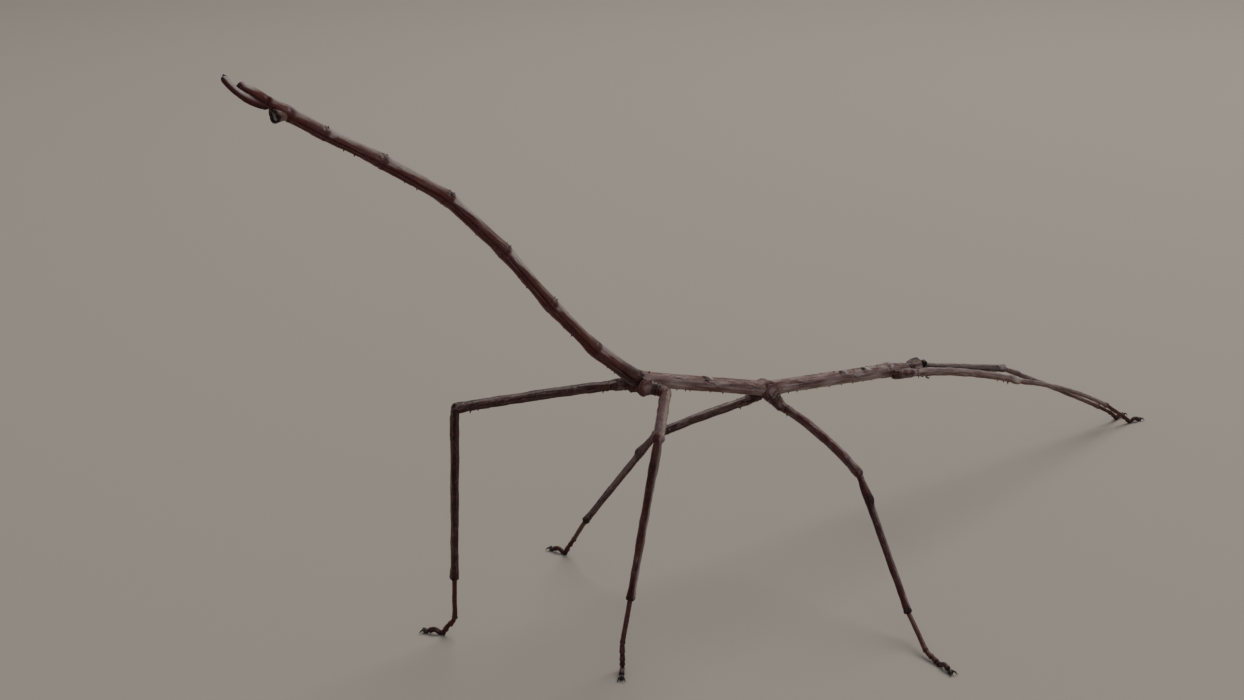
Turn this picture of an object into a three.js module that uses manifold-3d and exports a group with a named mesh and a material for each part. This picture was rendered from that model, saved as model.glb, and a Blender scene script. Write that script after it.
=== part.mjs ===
// A male stick insect, life size, standing on its six feet with its abdomen raised.
//
// Millimetres, +X towards the head, +Y to the animal's left, +Z up, floor at z = 0.
// The trunk lies in the plane y = 0. Each leg runs coxa, femur (with the trochanter), tibia,
// tarsus and claws, and its angles are bearings from +X towards +Y and elevations above level.

import * as THREE from 'three';
import { mergeVertices } from 'three/addons/utils/BufferGeometryUtils.js';
import Module from 'manifold-3d';

const wasm = await Module();
wasm.setup();

// ---- Driving sizes ---------------------------------------------------------------------------

const GAP = 0.12; // between neighbouring pieces
const X_AXIS = new THREE.Vector3(1, 0, 0);
const Y_AXIS = new THREE.Vector3(0, 1, 0);
const Z_AXIS = new THREE.Vector3(0, 0, 1);

// The trunk from the neck backwards: length, rise towards the tail in degrees, radius at the
// waist and at the rear joint, where the next piece begins.
const NECK = new THREE.Vector3(22.75, 0, 16.88);
const NECK_RADIUS = 0.6;
const TRUNK = [
  { name: 'prothorax', length: 3.83, rise: 8.5, waist: 0.74, node: 0.8 },
  { name: 'mesothorax', length: 19.4, rise: 6.7, waist: 0.77, node: 0.86 },
  { name: 'metathorax', length: 18.78, rise: 15.7, waist: 0.76, node: 0.84 },
  { name: 'abdomen_2', length: 6.9, rise: 38.4, waist: 0.75, node: 0.76 },
  { name: 'abdomen_3', length: 7.38, rise: 45.6, waist: 0.66, node: 0.72 },
  { name: 'abdomen_4', length: 7.94, rise: 48.8, waist: 0.62, node: 0.69 },
  { name: 'abdomen_5', length: 8.12, rise: 43.6, waist: 0.62, node: 0.69 },
  { name: 'abdomen_6', length: 7.72, rise: 31.9, waist: 0.6, node: 0.64 },
  { name: 'abdomen_7', length: 6.17, rise: 29.1, waist: 0.54, node: 0.58 },
  { name: 'abdomen_8', length: 3.6, rise: 31, waist: 0.57, node: 0.6 },
  { name: 'abdomen_9', length: 2.3, rise: 32.9, waist: 0.38, node: 0.46 },
  { name: 'abdomen_10', length: 2.75, rise: 34.3, waist: 0.45, node: 0.3 },
];
const NODE_REACH = 1.1; // how far a node's swelling runs along the trunk

const HEAD = { length: 3.6, radius: 0.88, droop: 14 };
const EYE = { radius: 0.4, forward: 2.15, out: 0.68, above: 0.27 };
const ANTENNA = { length: 15.8, base: 0.3, tip: 0.25, out: 0.31, droop: 14.2 };
const POCULUM = { length: 1.85, base: 0.36, rim: 0.62, wall: 0.14 };
const CERCUS = { length: 4.1, radius: 0.26, out: 0.32 };

// Lengths shared by the two legs of a pair.
const PAIRS = {
  fore: { root: [19.4, 0.62, 17.1], coxa: 2.65, femur: 21.4, tibia: 21.7, basitarsus: 3.3 },
  mid: { root: [-0.3, 0.5, 19.4], coxa: 2.0, femur: 12.3, tibia: 14.4, basitarsus: 4.7 },
  hind: { root: [-17.8, 0.5, 24.2], coxa: 2.2, femur: 18.2, tibia: 18.8, basitarsus: 4.9 },
};
const TARSOMERES = 2.2; // the second to fourth tarsal segments together
const CLAW_SEGMENT = 1.4; // the last tarsal segment
const COXA_RADIUS = { fore: 0.56, mid: 0.68, hind: 0.86 };
const TROCHANTER_RADIUS = 0.48;
const FEMUR_RADIUS = { fore: 0.38, mid: 0.45, hind: 0.45 };
const TIBIA_RADIUS = { fore: 0.29, mid: 0.33, hind: 0.39 };
const FEMUR_WIDE = { fore: 0.9, mid: 0.9, hind: 1.15 }; // across, against its radius
const TIBIA_LOBE = { fore: 0.06, mid: 0.16, hind: 0.06 }; // the swelling below the knee
const LOBE_PLACE = 2.8; // from the knee
const TARSUS_RADIUS = 0.27;
const TARSAL_JOINTS = [0, 0.95, 1.75, TARSOMERES]; // past the end of the first segment
const FLAT = 0.04; // how far a sole is cut flat where it stands
const CLAW = { pad: 0.3, base: 0.16, tip: 0.05, spread: 0.6, reach: 0.68, arch: 0.48 };

// What grows on the cuticle: height and radius, and where it stands in degrees from the back.
const TOOTH = { height: 0.27, radius: 0.11, around: 165 };
const WART = { height: 0.16, radius: 0.16, around: 28 };
const NODE_SPIKE = { height: 0.2, radius: 0.16, around: 0 };
const BELLY_SPIKE = { height: 0.2, radius: 0.12, around: 172 };
const FEMUR_THORN = { height: 0.2, radius: 0.12, lean: 0.35, places: [0.1, 0.17, 0.8, 0.87, 0.93] };

// The pose: [bearing, elevation] of each length, the bearing of the foot, and how far the middles
// of the femur and the tibia bow upwards.
const LEGS = [
  {
    pair: 'fore',
    side: 'right',
    pose: { coxa: [-12, -6.4], femur: [0.3, -15.3], tibia: [0.4, -21.3], basitarsus: [-9, -33], foot: -12 },
    bow: { femur: 0.38, tibia: 0.55 },
  },
  {
    pair: 'fore',
    side: 'left',
    pose: { coxa: [12, -4.3], femur: [0.1, -12.9], tibia: [-3.3, -25], basitarsus: [0, -28], foot: 5 },
    bow: { femur: 0.1, tibia: 0.1 },
  },
  {
    pair: 'mid',
    side: 'right',
    pose: {
      coxa: [-61.5, -43.6], femur: [-94.6, -18.3], tibia: [-101.2, -53.5], basitarsus: [-116.1, -24.5], foot: -104.5,
    },
    bow: { femur: 0.6, tibia: 0 },
  },
  {
    pair: 'mid',
    side: 'left',
    pose: {
      coxa: [123.7, -39.8], femur: [175.1, -5.4], tibia: [104.9, -53.1], basitarsus: [73.1, -46.4], foot: 104.7,
    },
    bow: { femur: 0.15, tibia: 0 },
  },
  {
    pair: 'hind',
    side: 'right',
    pose: { coxa: [-45, -21], femur: [-134.8, 6.4], tibia: [72.5, -71.7], basitarsus: [107, -80], foot: -134 },
    bow: { femur: 0, tibia: 0 },
  },
  {
    pair: 'hind',
    side: 'left',
    pose: { coxa: [134, -8.5], femur: [174.9, 4.3], tibia: [63.7, -80], basitarsus: [60.7, -75.5], foot: 125 },
    bow: { femur: 0.12, tibia: 0 },
  },
];

const BARK = { roughness: 0.72, metalness: 0 };
const MATERIALS = {
  trunk: { color: 0x6b5850, ...BARK },
  leg: { color: 0x54403a, ...BARK },
  tarsus: { color: 0x3a2824, ...BARK },
  claw: { color: 0x1f1613, roughness: 0.4, metalness: 0 },
  eye: { color: 0x120d0c, roughness: 0.15, metalness: 0 },
};

// ---- Shaping ---------------------------------------------------------------------------------

/** The unit vector at a bearing and an elevation, both in degrees. */
function heading([bearing, elevation]) {
  const turn = THREE.MathUtils.degToRad(bearing);
  const lift = THREE.MathUtils.degToRad(elevation);
  return new THREE.Vector3(
    Math.cos(lift) * Math.cos(turn),
    Math.cos(lift) * Math.sin(turn),
    Math.sin(lift),
  );
}

/** The part of `vector` square to the unit vector `axis`, as a unit vector. */
function squareTo(axis, vector) {
  return vector.clone().addScaledVector(axis, -vector.dot(axis)).normalize();
}

/** A swelling of height 1 at distance 0 that dies away over `reach`. */
function swelling(distance, reach) {
  return Math.exp(-((distance / reach) ** 2));
}

/** Fractions from 0 to 1, closer together near both ends. */
function endStations(count) {
  return Array.from({ length: count + 1 }, (_, i) => 0.5 - 0.5 * Math.cos((Math.PI * i) / count));
}

/** A closed geometry of positions only, its seams and poles merged. */
function closed(geometry) {
  geometry.deleteAttribute('normal');
  geometry.deleteAttribute('uv');
  const merged = mergeVertices(geometry, 1e-5);
  const corners = Array.from(merged.index.array);
  const kept = [];
  for (let i = 0; i < corners.length; i += 3) {
    const [a, b, c] = corners.slice(i, i + 3);
    if (a !== b && b !== c && c !== a) kept.push(a, b, c);
  }
  merged.setIndex(kept);
  return merged;
}

/** The solid inside a closed geometry. */
function solidOf(geometry) {
  const merged = closed(geometry);
  return new wasm.Manifold(new wasm.Mesh({
    numProp: 3,
    vertProperties: new Float32Array(merged.attributes.position.array),
    triVerts: new Uint32Array(merged.index.array),
  }));
}

/** The surface of a solid as a geometry. */
function surfaceOf(solid) {
  const mesh = solid.getMesh();
  const geometry = new THREE.BufferGeometry();
  geometry.setAttribute('position', new THREE.BufferAttribute(new Float32Array(mesh.vertProperties), 3));
  geometry.setIndex(new THREE.BufferAttribute(new Uint32Array(mesh.triVerts), 1));
  return geometry;
}

/** The biggest of the bodies that a cut leaves. */
function mainBody(solid) {
  return solid.decompose().reduce((best, body) => (body.volume() > best.volume() ? body : best));
}

const joined = (solids) => solids.reduce((whole, solid) => whole.add(solid));
const carved = (solid, cutters) => mainBody(cutters.reduce((rest, cutter) => rest.subtract(cutter), solid));

/**
 * A turned profile pulled along a curve. The profile's x is the radius and its y the fraction of
 * the curve; the section is an ellipse, `wide` times the radius across and `high` times it up.
 * `mitre` shears the two end sections, in slopes, so that pieces meet face to face at a bend.
 */
function pulled(curve, profile, { sides = 8, wide = 1, high = 1, up = Z_AXIS, mitre = [0, 0] } = {}) {
  const geometry = new THREE.LatheGeometry(profile, sides);
  const position = geometry.attributes.position;
  const point = new THREE.Vector3();
  for (let i = 0; i < position.count; i += 1) {
    const t = THREE.MathUtils.clamp(position.getY(i), 0, 1);
    const tangent = curve.getTangentAt(t);
    const dorsal = squareTo(tangent, up);
    const lateral = new THREE.Vector3().crossVectors(tangent, dorsal);
    const height = position.getZ(i) * high;
    const shear = mitre[0] * (1 - t) ** 4 + mitre[1] * t ** 4;
    point.copy(curve.getPointAt(t))
      .addScaledVector(lateral, position.getX(i) * wide)
      .addScaledVector(dorsal, height)
      .addScaledVector(tangent, height * shear);
    position.setXYZ(i, point.x, point.y, point.z);
  }
  return solidOf(geometry);
}

/** The profile of a limb whose radius is `radiusAt(t)`, closed at both ends. */
function limbProfile(radiusAt, rings) {
  const stations = endStations(rings);
  return [
    new THREE.Vector2(0, 0),
    ...stations.map((t) => new THREE.Vector2(radiusAt(t), t)),
    new THREE.Vector2(0, 1),
  ];
}

/** The radius of a limb with round ends: `radiusAt(t)`, drawn in over `dome` at each end. */
function domed(radiusAt, length, dome) {
  return (t) => {
    const inset = Math.min(t, 1 - t) * length;
    const share = Math.min(1, (inset + 0.25 * dome) / (1.25 * dome));
    return radiusAt(t) * Math.sqrt(1 - (1 - share) ** 2);
  };
}

/** A thorn: a slim pyramid standing on `root`, sunk a little into what it grows from. */
function thorn(root, direction, height, radius) {
  const sunk = 0.4 * radius + 0.08;
  const geometry = new THREE.ConeGeometry(radius, height + sunk, 4);
  geometry.applyQuaternion(new THREE.Quaternion().setFromUnitVectors(Y_AXIS, direction));
  const centre = root.clone().addScaledVector(direction, (height - sunk) / 2);
  geometry.translate(centre.x, centre.y, centre.z);
  return solidOf(geometry);
}

// ---- Scene graph -----------------------------------------------------------------------------

const insect = new THREE.Group();

/** Adds `solid` to `group` as a mesh whose own frame stands at `origin`, X along `forward`. */
function addPiece(group, name, solid, look, origin, forward, up = Z_AXIS) {
  const dorsal = squareTo(forward, up);
  const left = new THREE.Vector3().crossVectors(dorsal, forward);
  const mesh = new THREE.Mesh(undefined, new THREE.MeshStandardMaterial(MATERIALS[look]));
  mesh.name = name;
  mesh.position.copy(origin);
  mesh.setRotationFromMatrix(new THREE.Matrix4().makeBasis(forward, left, dorsal));
  mesh.updateMatrix();
  mesh.geometry = surfaceOf(solid).applyMatrix4(mesh.matrix.clone().invert());
  mesh.geometry.computeVertexNormals();
  group.add(mesh);
  return mesh;
}

// ---- Trunk -----------------------------------------------------------------------------------

/** The trunk's joints, and each piece's place between two of them. */
function layTrunk() {
  let start = NECK;
  let frontRadius = NECK_RADIUS;
  return TRUNK.map((piece) => {
    const forward = heading([180, piece.rise]);
    const end = start.clone().addScaledVector(forward, piece.length);
    const laid = { ...piece, start, end, forward, dorsal: squareTo(forward, Z_AXIS), frontRadius };
    start = end;
    frontRadius = piece.node;
    return laid;
  });
}

const trunk = layTrunk();
const trunkPiece = Object.fromEntries(trunk.map((piece) => [piece.name, piece]));

/** A trunk piece's radius at fraction t: a waist between two swollen nodes. */
function trunkRadius(piece, t) {
  const fromFront = t * piece.length;
  const fromRear = (1 - t) * piece.length;
  return piece.waist
    + (piece.frontRadius - piece.waist) * swelling(fromFront, NODE_REACH)
    + (piece.node - piece.waist) * swelling(fromRear, NODE_REACH);
}

/** The slope that mitres the joint between two trunk pieces. */
function mitreSlope(front, rear) {
  return Math.tan(THREE.MathUtils.degToRad(rear.rise - front.rise) / 2);
}

/** The plain body of a trunk piece, `grow` thicker than life. */
function trunkBody(piece, grow = 0) {
  const at = trunk.indexOf(piece);
  const inset = (GAP / 2 - grow) / piece.length;
  const line = new THREE.LineCurve3(
    piece.start.clone().lerp(piece.end, inset),
    piece.end.clone().lerp(piece.start, inset),
  );
  const startSlope = at > 0 ? mitreSlope(trunk[at - 1], piece) : 0;
  const endSlope = at < trunk.length - 1 ? mitreSlope(piece, trunk[at + 1]) : 0;
  const rings = piece.length > 10 ? 10 : 6;
  return pulled(line, limbProfile((t) => trunkRadius(piece, t) + grow, rings), {
    sides: 10,
    mitre: [startSlope, -endSlope],
  });
}

/** A thorn on a trunk piece, at fraction t; `side` is 1 on the left and -1 on the right. */
function trunkThorn(piece, t, { height, radius, around }, side = 1) {
  const turn = THREE.MathUtils.degToRad(side * around);
  const out = piece.dorsal.clone().multiplyScalar(Math.cos(turn)).addScaledVector(Y_AXIS, Math.sin(turn));
  const root = piece.start.clone().lerp(piece.end, t).addScaledVector(out, trunkRadius(piece, t) * 0.96);
  return thorn(root, out, height, radius);
}

/** Two rows of teeth under the belly, from fraction `first` to `last`. */
function toothRows(piece, first, last, count) {
  const teeth = [];
  for (let i = 0; i < count; i += 1) {
    const t = first + ((last - first) * i) / (count - 1);
    teeth.push(trunkThorn(piece, t, TOOTH, i % 2 ? 1 : -1));
  }
  return teeth;
}

/** Pairs of warts along the back, from fraction `first` to `last`. */
function wartPairs(piece, first, last, count) {
  const warts = [];
  for (let i = 0; i < count; i += 1) {
    const t = first + ((last - first) * i) / (count - 1);
    for (const side of [1, -1]) warts.push(trunkThorn(piece, t, WART, side));
  }
  return warts;
}

/** What grows from each trunk piece. */
function trunkOrnaments(piece) {
  if (piece.name === 'prothorax') return wartPairs(piece, 0.3, 0.86, 2);
  if (piece.name === 'mesothorax') return [...toothRows(piece, 0.1, 0.92, 11), ...wartPairs(piece, 0.06, 0.4, 3)];
  if (piece.name === 'metathorax') return [...toothRows(piece, 0.3, 0.72, 5), ...wartPairs(piece, 0.72, 0.95, 2)];
  if (piece.length < 6) return [];
  return [
    trunkThorn(piece, 0.9, NODE_SPIKE),
    trunkThorn(piece, 0.42, BELLY_SPIKE, 1),
    trunkThorn(piece, 0.62, BELLY_SPIKE, -1),
  ];
}

// ---- Head ------------------------------------------------------------------------------------

const headForward = heading([0, -HEAD.droop]);
const headMiddle = NECK.clone().addScaledVector(headForward, HEAD.length / 2).add(new THREE.Vector3(0, 0, 0.3));
const headCurve = new THREE.QuadraticBezierCurve3(
  NECK.clone().add(new THREE.Vector3(GAP, 0, 0.05)),
  headMiddle.clone().add(new THREE.Vector3(0, 0, 0.35)),
  NECK.clone().addScaledVector(headForward, HEAD.length),
);

/** The head's radius: a narrow neck, a broad cranium, cheeks, and a blunt mouth. */
function headRadius(t) {
  const cranium = 0.55 + 0.45 * Math.sin(Math.PI * Math.min(1, t / 0.8 + 0.08));
  const mouth = 0.44 * THREE.MathUtils.smoothstep(t, 0.55, 0.85);
  return HEAD.radius * Math.max(cranium - 0.1 * mouth, 0.42 - 0.2 * THREE.MathUtils.smoothstep(t, 0.9, 1));
}

const headBody = (grow = 0) => pulled(headCurve, limbProfile((t) => headRadius(t) + grow, 9), {
  sides: 10,
  wide: 1.04,
});

/** The centre of an eye; `side` is 1 on the left and -1 on the right. */
function eyeCentre(side) {
  return NECK.clone().add(new THREE.Vector3(EYE.forward, side * EYE.out, EYE.above));
}

/** An eye: a ball a little longer than it is high. */
function eyeBall(side, grow = 0) {
  const ball = new THREE.SphereGeometry(EYE.radius + grow, 10, 7);
  ball.scale(1.1, 0.85, 1);
  const centre = eyeCentre(side);
  ball.translate(centre.x, centre.y, centre.z);
  return solidOf(ball);
}

/** A feeler: it leaves the brow and lies forward and down between the fore femora. */
function antenna(side) {
  const root = NECK.clone().add(new THREE.Vector3(2.9, side * 0.34, -0.25));
  const tip = root.clone()
    .addScaledVector(heading([0, -ANTENNA.droop]), ANTENNA.length)
    .setY(side * ANTENNA.out);
  const curve = bowedLine(root, tip, 0.12);
  const radiusAt = (t) => ANTENNA.tip + (ANTENNA.base - ANTENNA.tip) * swelling(t, 0.08);
  return pulled(curve, limbProfile(domed(radiusAt, ANTENNA.length, 0.2), 7), { sides: 6 });
}

// ---- Tail ------------------------------------------------------------------------------------

/** The cup under the ninth segment, open towards the tail's tip. */
function poculum() {
  const eighth = trunkPiece.abdomen_8;
  const start = eighth.end.clone().add(new THREE.Vector3(0.2, 0, -0.06));
  const end = start.clone().add(new THREE.Vector3(-POCULUM.length, 0, 0.14));
  const { base, rim, wall } = POCULUM;
  const profile = [
    [0, 0], [base * 0.8, 0], [base, 0.12], [base * 1.15, 0.45], [rim * 0.93, 0.78], [rim, 1],
    [rim - wall, 0.98], [rim * 0.62, 0.8], [0, 0.66],
  ].map(([radius, along]) => new THREE.Vector2(radius, along));
  return pulled(new THREE.LineCurve3(start, end), profile, { sides: 14 });
}

/** One of the two long appendages below the tenth segment; the right one hangs a little lower. */
function cercus(side) {
  const tenth = trunkPiece.abdomen_10;
  const along = (distance, below, out) => tenth.start.clone()
    .addScaledVector(tenth.forward, distance)
    .addScaledVector(tenth.dorsal, -below)
    .addScaledVector(Y_AXIS, side * out);
  const shift = 0.13 * side;
  const curve = new THREE.QuadraticBezierCurve3(
    along(0.15, 0.38, 0.2),
    along(0.6 * CERCUS.length, 0.9 - shift, CERCUS.out + 0.05),
    along(1.05 * CERCUS.length - 2 * shift, 0.02 - 2 * shift, CERCUS.out),
  );
  const radiusAt = (t) => CERCUS.radius * (1.1 - 0.1 * t);
  return pulled(curve, limbProfile(domed(radiusAt, CERCUS.length, 0.3), 7), { sides: 7 });
}

// ---- Legs ------------------------------------------------------------------------------------

/** A leg's joints, worked out from its lengths and headings down to the floor. */
function layLeg(leg) {
  const sizes = PAIRS[leg.pair];
  const mirrored = leg.side === 'left' ? 1 : -1;
  const root = new THREE.Vector3(sizes.root[0], mirrored * sizes.root[1], sizes.root[2]);
  const hip = root.clone().addScaledVector(heading(leg.pose.coxa), sizes.coxa);
  const knee = hip.clone().addScaledVector(heading(leg.pose.femur), sizes.femur);
  const ankle = knee.clone().addScaledVector(heading(leg.pose.tibia), sizes.tibia);
  const instep = ankle.clone().addScaledVector(heading(leg.pose.basitarsus), sizes.basitarsus);
  const soleHeight = TARSUS_RADIUS - FLAT;
  const drop = instep.z - soleHeight;
  const level = Math.sqrt(Math.max(TARSOMERES ** 2 - drop ** 2, 0.1));
  const footward = heading([leg.pose.foot, 0]);
  const sole = instep.clone().addScaledVector(footward, level).setZ(soleHeight);
  const arch = sole.clone().addScaledVector(footward, 0.5 * CLAW_SEGMENT).setZ(0.52);
  const toe = sole.clone().addScaledVector(footward, CLAW_SEGMENT).setZ(0.32);
  return { ...leg, ...sizes, root, hip, knee, ankle, instep, sole, arch, toe, footward };
}

/** The floor as a slab, to cut flats under the feet. */
function belowFloor() {
  const [size, depth] = [200, 4];
  const slab = new THREE.BoxGeometry(size, size, depth);
  slab.translate(0, 0, -depth / 2);
  return solidOf(slab);
}

const floor = belowFloor();

/** A line from `start` to `end` whose middle stands `bow` above the straight one. */
function bowedLine(start, end, bow = 0) {
  const forward = end.clone().sub(start).normalize();
  const middle = start.clone().lerp(end, 0.5).addScaledVector(squareTo(forward, Z_AXIS), 2 * bow);
  return new THREE.QuadraticBezierCurve3(start, middle, end);
}

/** A limb from `start` to `end`, run on by `over` past each end and rounded there. */
function limb(start, end, radiusAt, { over = [0, 0], rings = 7, grow = 0, bow = 0, ...section }) {
  const forward = end.clone().sub(start).normalize();
  const line = bowedLine(
    start.clone().addScaledVector(forward, -over[0] - grow),
    end.clone().addScaledVector(forward, over[1] + grow),
    bow,
  );
  const grown = domed((t) => radiusAt(t) + grow, line.getLength(), 0.35);
  return pulled(line, limbProfile(grown, rings), section);
}

/** The coxa: a lobe on the thorax's side, widest near its root. */
function coxa(leg, grow = 0) {
  const radius = COXA_RADIUS[leg.pair];
  const hip = TROCHANTER_RADIUS + 0.06;
  const radiusAt = (t) => hip + (radius - hip) * swelling(t - 0.3, 0.38);
  return limb(leg.root, leg.hip, radiusAt, { over: [0.1, 0.3], rings: 5, grow });
}

/** The femur's radius: trochanter, neck, a long taper and the knee. */
function femurRadius(leg, t) {
  const shaft = FEMUR_RADIUS[leg.pair] * (1.06 - 0.14 * t);
  return shaft
    + (TROCHANTER_RADIUS - shaft) * swelling(t * leg.femur, 0.9)
    - 0.05 * swelling(t * leg.femur - 1.6, 0.7)
    + 0.06 * swelling((1 - t) * leg.femur - 0.35, 0.8);
}

const femur = (leg, grow = 0) => limb(leg.hip, leg.knee, (t) => femurRadius(leg, t), {
  over: [0.1, 0.28],
  grow,
  bow: leg.bow.femur,
  wide: FEMUR_WIDE[leg.pair],
  high: 1.05,
});

/** The thorns on a femur's lower keel, near its base and its knee. */
function femurThorns(leg) {
  const forward = heading(leg.pose.femur);
  const under = squareTo(forward, Z_AXIS).negate();
  const line = bowedLine(leg.hip, leg.knee, leg.bow.femur);
  const direction = under.clone().addScaledVector(forward, FEMUR_THORN.lean).normalize();
  return FEMUR_THORN.places.map((t) => {
    const root = line.getPointAt(t).addScaledVector(under, femurRadius(leg, t));
    return thorn(root, direction, FEMUR_THORN.height, FEMUR_THORN.radius);
  });
}

/** The outer side of a tibia: away from the floor, and from the body where the knee bends. */
const tibiaUp = (leg) => heading(leg.pose.femur).multiplyScalar(2).add(Z_AXIS);

/** The tibia: slim, with a lobe below the knee on the rear pairs and a collar at the ankle. */
function tibia(leg, grow = 0) {
  const shaft = TIBIA_RADIUS[leg.pair];
  const radiusAt = (t) => shaft * (1.08 - 0.16 * t)
    + TIBIA_LOBE[leg.pair] * swelling(t * leg.tibia - LOBE_PLACE, 0.8)
    + 0.08 * swelling((1 - t) * leg.tibia - 0.3, 0.7);
  return limb(leg.knee, leg.ankle, radiusAt, {
    over: [0, 0.1],
    grow,
    bow: leg.bow.tibia,
    wide: 1.02,
    high: 0.98,
    up: tibiaUp(leg),
  });
}

/** The tarsus: a long first segment, three short ones and an arched last one. */
function tarsus(leg) {
  const along = new THREE.CatmullRomCurve3([
    leg.ankle,
    leg.ankle.clone().lerp(leg.instep, 0.5),
    leg.instep,
    leg.instep.clone().lerp(leg.sole, 0.55),
    leg.sole,
    leg.arch,
    leg.toe,
  ]);
  const length = along.getLength();
  const past = (t) => t * length - leg.basitarsus;
  const radiusAt = (t) => TARSUS_RADIUS
    + TARSAL_JOINTS.reduce((sum, joint) => sum + 0.05 * swelling(past(t) - joint, 0.3), 0);
  const profile = Array.from({ length: 14 }, (_, i) => i / 13)
    .map((t) => new THREE.Vector2(radiusAt(t) * (t === 1 ? 0.7 : 1), t));
  return pulled(along, [new THREE.Vector2(0, 0), ...profile, new THREE.Vector2(0, 1)], {
    sides: 6,
    up: Z_AXIS.clone().add(leg.footward),
  });
}

/** The pad and the two claws that spread from the tarsus's end. */
function claws(leg) {
  const pad = new THREE.SphereGeometry(CLAW.pad, 6, 4);
  pad.scale(1.15, 1, 0.95);
  const centre = leg.toe.clone().addScaledVector(leg.footward, 0.26).setZ(0.95 * CLAW.pad - FLAT);
  pad.translate(centre.x, centre.y, centre.z);
  const hooks = [-1, 1].map((side) => {
    const out = leg.footward.clone().applyAxisAngle(Z_AXIS, side * CLAW.spread);
    const hook = new THREE.QuadraticBezierCurve3(
      centre.clone().addScaledVector(Z_AXIS, CLAW.tip),
      centre.clone().addScaledVector(out, 0.66 * CLAW.reach).setZ(CLAW.arch),
      centre.clone().addScaledVector(out, CLAW.reach).setZ(2 * CLAW.tip),
    );
    const radiusAt = (t) => THREE.MathUtils.lerp(CLAW.base, CLAW.tip, t);
    return pulled(hook, limbProfile(radiusAt, 2), { sides: 4 });
  });
  return joined([solidOf(pad), ...hooks]);
}

/** Adds one leg's five pieces, each carved clear of what it grows from. */
function addLeg(leg, trunkCutters) {
  const group = new THREE.Group();
  const name = (part) => `leg_${leg.pair}_${leg.side}_${part}`;
  const grownCoxa = coxa(leg, GAP);
  const grownTibia = tibia(leg, GAP);
  const femurWhole = joined([femur(leg), ...femurThorns(leg)]);
  const downTarsus = heading(leg.pose.basitarsus);
  addPiece(group, name('coxa'), carved(coxa(leg), trunkCutters), 'leg', leg.root, heading(leg.pose.coxa));
  addPiece(group, name('femur'), carved(femurWhole, [grownCoxa, ...trunkCutters]), 'leg', leg.hip,
    heading(leg.pose.femur));
  addPiece(group, name('tibia'), carved(tibia(leg), [femur(leg, GAP)]), 'leg', leg.knee,
    heading(leg.pose.tibia), tibiaUp(leg));
  addPiece(group, name('tarsus'), carved(tarsus(leg), [grownTibia, floor]), 'tarsus', leg.ankle,
    downTarsus, leg.footward);
  const tarsusShell = pulled(new THREE.LineCurve3(leg.arch, leg.toe.clone().addScaledVector(leg.footward, GAP)),
    limbProfile(() => TARSUS_RADIUS + GAP, 1), { sides: 6 });
  addPiece(group, name('claws'), carved(claws(leg), [tarsusShell, floor]), 'claw', leg.toe, leg.footward);
  insect.add(group);
}

// ---- Assembly --------------------------------------------------------------------------------

function addHead() {
  const group = new THREE.Group();
  const eyes = { left: 1, right: -1 };
  const sockets = Object.values(eyes).map((side) => eyeBall(side, 0.08));
  addPiece(group, 'head', carved(headBody(), sockets), 'trunk', NECK, headForward);
  for (const [name, side] of Object.entries(eyes)) {
    addPiece(group, `eye_${name}`, eyeBall(side), 'eye', eyeCentre(side), X_AXIS);
    addPiece(group, `antenna_${name}`, carved(antenna(side), [headBody(GAP), eyeBall(side, GAP)]), 'leg',
      eyeCentre(side), X_AXIS);
  }
  insect.add(group);
}

function addTrunk() {
  const thorax = new THREE.Group();
  const abdomen = new THREE.Group();
  for (const piece of trunk) {
    const group = piece.name.endsWith('thorax') ? thorax : abdomen;
    const solid = joined([trunkBody(piece), ...trunkOrnaments(piece)]);
    addPiece(group, piece.name, solid, 'trunk', piece.start, piece.forward);
  }
  const rear = ['abdomen_8', 'abdomen_9', 'abdomen_10'].map((name) => trunkBody(trunkPiece[name], GAP));
  addPiece(abdomen, 'poculum', carved(poculum(), rear), 'trunk', trunkPiece.abdomen_9.start, X_AXIS);
  addPiece(abdomen, 'cercus_left', carved(cercus(1), rear), 'trunk', trunkPiece.abdomen_10.start, X_AXIS);
  addPiece(abdomen, 'cercus_right', carved(cercus(-1), rear), 'trunk', trunkPiece.abdomen_10.start, X_AXIS);
  insect.add(thorax, abdomen);
}

function addLegs() {
  const near = {
    fore: ['prothorax', 'mesothorax'],
    mid: ['mesothorax', 'metathorax'],
    hind: ['metathorax', 'abdomen_2'],
  };
  for (const leg of LEGS.map(layLeg)) {
    const cutters = near[leg.pair].map((name) => trunkBody(trunkPiece[name], GAP));
    if (leg.pair === 'fore') cutters.push(headBody(GAP));
    addLeg(leg, cutters);
  }
}

addHead();
addTrunk();
addLegs();

// The model's own origin is under the middle of its outline, on the floor.
const outline = new THREE.Box3().setFromObject(insect, true);
const middle = outline.getCenter(new THREE.Vector3());
insect.position.set(-middle.x, -middle.y, -outline.min.z);

export default insect;
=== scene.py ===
"""A male stick insect, life size: one skin of cuticle, eyes, feelers, mouthparts, claws, a studio.

Shapes are drawn in millimetres in the animal's own frame: +X towards the head, +Y to its left,
+Z up, floor at z = 0 and the trunk in the plane y = 0. finished() puts each piece in its place in
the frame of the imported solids, in metres. On a limb, s is the distance along it and a the angle
round it from its upper side. Rows of ridges give height, place and reach.
"""

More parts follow.
